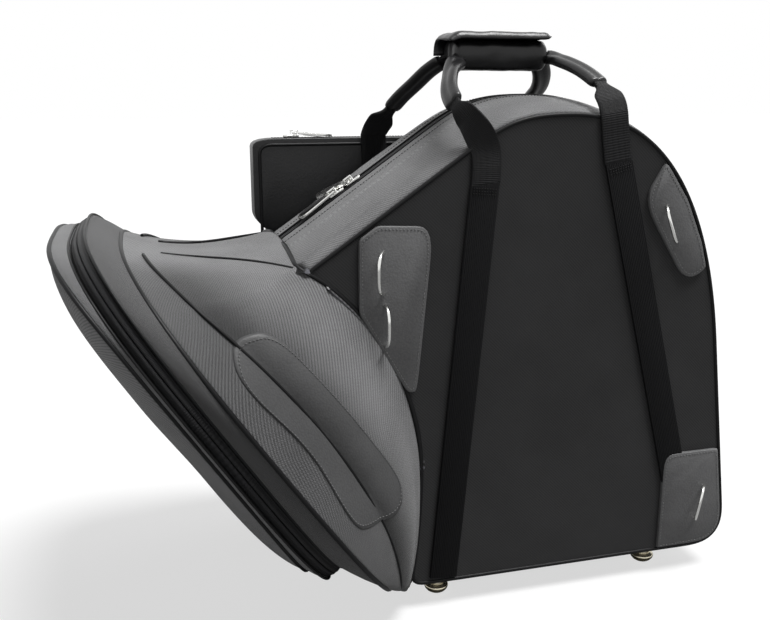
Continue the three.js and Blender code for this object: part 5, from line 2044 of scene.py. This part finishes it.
def make_cushion(name, node):
    """A soft block: a welded copy of the solid, remeshed and rounded"""
    mesh, bm = welded_copy(node)
    bm.to_mesh(mesh)
    bm.free()
    piece = finish_piece(name, mesh, "plush", BODY, [node])
    block = piece.modifiers.new("Voxels", "REMESH")
    block.mode = "VOXEL"
    block.voxel_size = 0.004
    block.use_smooth_shade = True
    round_off = piece.modifiers.new("Round", "SMOOTH")
    round_off.factor = 0.5
    round_off.iterations = 12
    depsgraph = bpy.context.evaluated_depsgraph_get()
    baked = bpy.data.meshes.new_from_object(piece.evaluated_get(depsgraph))
    piece.modifiers.clear()
    piece.data = baked
    if not baked.materials:
        baked.materials.append(FINISHES["plush"])
    for face in baked.polygons:
        face.use_smooth = True


# Stage


CAMERA_PLACE = (-0.2031, -0.7766, 0.4473)
CAMERA_TURN = math.radians(15.43)
CAMERA_PITCH = math.radians(13.74)

# Lamps: the side that each shines from, its width in degrees, and its share of the key's strength

LAMPS = {
    "key_above": ((0.3, -0.15, 1.0), 28.0, 1.0),
    "back_right": ((0.9, 0.5, 0.7), 30.0, 0.15),
}


def make_floor(scene):
    """A plain floor, brightened where the camera sees it"""
    bm = bmesh.new()
    bmesh.ops.create_grid(bm, x_segments=4, y_segments=4, size=14.0)
    floor = bpy.data.objects.new("studio_floor", to_mesh(bm, "studio_floor"))
    scene.collection.objects.link(floor)
    board = Board("studio_floor")
    colour = tuple(scene.horn_colours.floor) + (1.0,)
    board.finish(colour, 0.9, specular_ior_level=0.0, emission_strength=1.0)
    seen = board.node("ShaderNodeLightPath", take="Is Camera Ray") * scene.horn_stage.glow
    board.tree.links.new(seen.socket, board.shader.inputs["Emission Color"])
    floor.data.materials.append(board.material)


def make_world(scene):
    """Even light all round, and white where the camera or a mirror sees it"""
    world = bpy.data.worlds.new("studio_light")
    world.use_nodes = True
    scene.world = world
    tree = world.node_tree
    back = tree.nodes["Background"]
    rays = tree.nodes.new("ShaderNodeLightPath")
    seen = tree.nodes.new("ShaderNodeMath")
    seen.operation = "MAXIMUM"
    tree.links.new(rays.outputs["Is Camera Ray"], seen.inputs[0])
    tree.links.new(rays.outputs["Is Glossy Ray"], seen.inputs[1])
    strength = tree.nodes.new("ShaderNodeMapRange")
    tree.links.new(seen.outputs[0], strength.inputs["Value"])
    strength.inputs["To Min"].default_value = scene.horn_stage.fill
    strength.inputs["To Max"].default_value = 1.0
    tree.links.new(strength.outputs["Result"], back.inputs["Strength"])
    back.inputs["Color"].default_value = (1.0, 1.0, 1.0, 1.0)


def add_light(scene, name, place, wide, strength):
    """Light that falls alike everywhere, from the side where place lies"""
    data = bpy.data.lights.new(name, "SUN")
    data.angle = math.radians(wide)
    data.energy = strength
    lamp = bpy.data.objects.new(name, data)
    lamp.rotation_euler = Vector(place).to_track_quat("Z", "Y").to_euler()
    scene.collection.objects.link(lamp)


def make_stage(scene):
    """The floor, the world, the two lamps and the camera"""
    make_floor(scene)
    make_world(scene)
    for name, (place, wide, share) in LAMPS.items():
        add_light(scene, name, place, wide, scene.horn_stage.key * share)
    data = bpy.data.cameras.new("camera")
    data.sensor_width = 36.0
    data.lens = scene.horn_stage.lens
    data.clip_start = 0.05
    camera = bpy.data.objects.new("camera", data)
    x, y, z = CAMERA_PLACE
    camera.location = (x + SHIFT, y, z)
    camera.rotation_euler = (math.pi / 2 - CAMERA_PITCH, 0.0, -CAMERA_TURN)
    scene.collection.objects.link(camera)
    scene.camera = camera
    scene.view_settings.view_transform = "Standard"


# Operators


class HORN_OT_finishes(bpy.types.Operator):
    """Make the fabrics, leathers, metals and threads"""

    bl_idname = "horn.finishes"
    bl_label = "Finishes"

    def execute(self, context):
        make_finishes()
        return {"FINISHED"}


class HORN_OT_body(bpy.types.Operator):
    """Make the padded body: gussets, side panels, bottom and piping"""

    bl_idname = "horn.body"
    bl_label = "Body"

    def execute(self, context):
        for name, side in SIDES.items():
            make_gusset(name, side)
            make_panel(name, side)
        make_bottom()
        make_zip_bed()
        return {"FINISHED"}


class HORN_OT_flare(bpy.types.Operator):
    """Make the flare with its seams and wear patches"""

    bl_idname = "horn.flare"
    bl_label = "Flare"

    def execute(self, context):
        flare = make_flare()
        for name, side in SIDES.items():
            make_flare_trim(name, side)
            make_wear_patch(name, side, flare)
        return {"FINISHED"}


class HORN_OT_bell_lid(bpy.types.Operator):
    """Make the rim band and the bell lid"""

    bl_idname = "horn.bell_lid"
    bl_label = "Rim and lid"

    def execute(self, context):
        make_rim()
        make_lid()
        return {"FINISHED"}


class HORN_OT_zippers(bpy.types.Operator):
    """Make the zippers, their sliders and pulls"""

    bl_idname = "horn.zippers"
    bl_label = "Zippers"

    def execute(self, context):
        make_zippers()
        make_sliders()
        return {"FINISHED"}


class HORN_OT_handles(bpy.types.Operator):
    """Make the straps, handle loops, sleeves and grip"""

    bl_idname = "horn.handles"
    bl_label = "Straps and handles"

    def execute(self, context):
        make_straps()
        for name, side in SIDES.items():
            make_loop(name, side)
        make_grip()
        return {"FINISHED"}


class HORN_OT_patches(bpy.types.Operator):
    """Make the leather patches and the rings in them"""

    bl_idname = "horn.patches"
    bl_label = "Patches and rings"

    def execute(self, context):
        make_patches()
        make_rings()
        return {"FINISHED"}


class HORN_OT_pocket(bpy.types.Operator):
    """Make the music pocket"""

    bl_idname = "horn.pocket"
    bl_label = "Music pocket"

    def execute(self, context):
        make_pocket()
        return {"FINISHED"}


class HORN_OT_base(bpy.types.Operator):
    """Make the skids and the feet"""

    bl_idname = "horn.base"
    bl_label = "Skids and feet"

    def execute(self, context):
        make_base()
        return {"FINISHED"}


class HORN_OT_padding(bpy.types.Operator):
    """Make the pads and the board inside"""

    bl_idname = "horn.padding"
    bl_label = "Padding"

    def execute(self, context):
        make_cushion("cradle_cushion", "cradle_pad")
        make_cushion("back_cushion", "rear_pad")
        dressed("base_board", "board", BODY, 0.0005, 2)
        return {"FINISHED"}


class HORN_OT_stage(bpy.types.Operator):
    """Make the floor, the lamps, the world and the camera"""

    bl_idname = "horn.stage"
    bl_label = "Stage"

    def execute(self, context):
        make_stage(context.scene)
        return {"FINISHED"}


STEPS = (
    "finishes", "body", "flare", "bell_lid", "zippers", "handles", "patches", "pocket", "base", "padding",
    "stage",
)


class HORN_PT_case(bpy.types.Panel):
    """Lists the groups of pieces and their settings"""

    bl_label = "French Horn Case"
    bl_idname = "HORN_PT_case"
    bl_space_type = "VIEW_3D"
    bl_region_type = "UI"
    bl_category = "Horn Case"

    def draw(self, context):
        layout = self.layout
        for step in STEPS:
            layout.operator("horn." + step)
        for group in ("horn_sizes", "horn_colours", "horn_stage"):
            settings = getattr(context.scene, group)
            box = layout.box()
            for key in type(settings).__annotations__:
                box.prop(settings, key)


CLASSES = (
    HornSizes, HornColours, HornStage, HORN_OT_finishes, HORN_OT_body, HORN_OT_flare, HORN_OT_bell_lid,
    HORN_OT_zippers, HORN_OT_handles, HORN_OT_patches, HORN_OT_pocket, HORN_OT_base, HORN_OT_padding,
    HORN_OT_stage, HORN_PT_case,
)


def register():
    for entry in CLASSES:
        bpy.utils.register_class(entry)
    bpy.types.Scene.horn_sizes = bpy.props.PointerProperty(type=HornSizes)
    bpy.types.Scene.horn_colours = bpy.props.PointerProperty(type=HornColours)
    bpy.types.Scene.horn_stage = bpy.props.PointerProperty(type=HornStage)


def unregister():
    del bpy.types.Scene.horn_stage
    del bpy.types.Scene.horn_colours
    del bpy.types.Scene.horn_sizes
    for entry in reversed(CLASSES):
        bpy.utils.unregister_class(entry)


def main():
    register()
    for step in STEPS:
        getattr(bpy.ops.horn, step)()


if __name__ == "__main__":
    main()
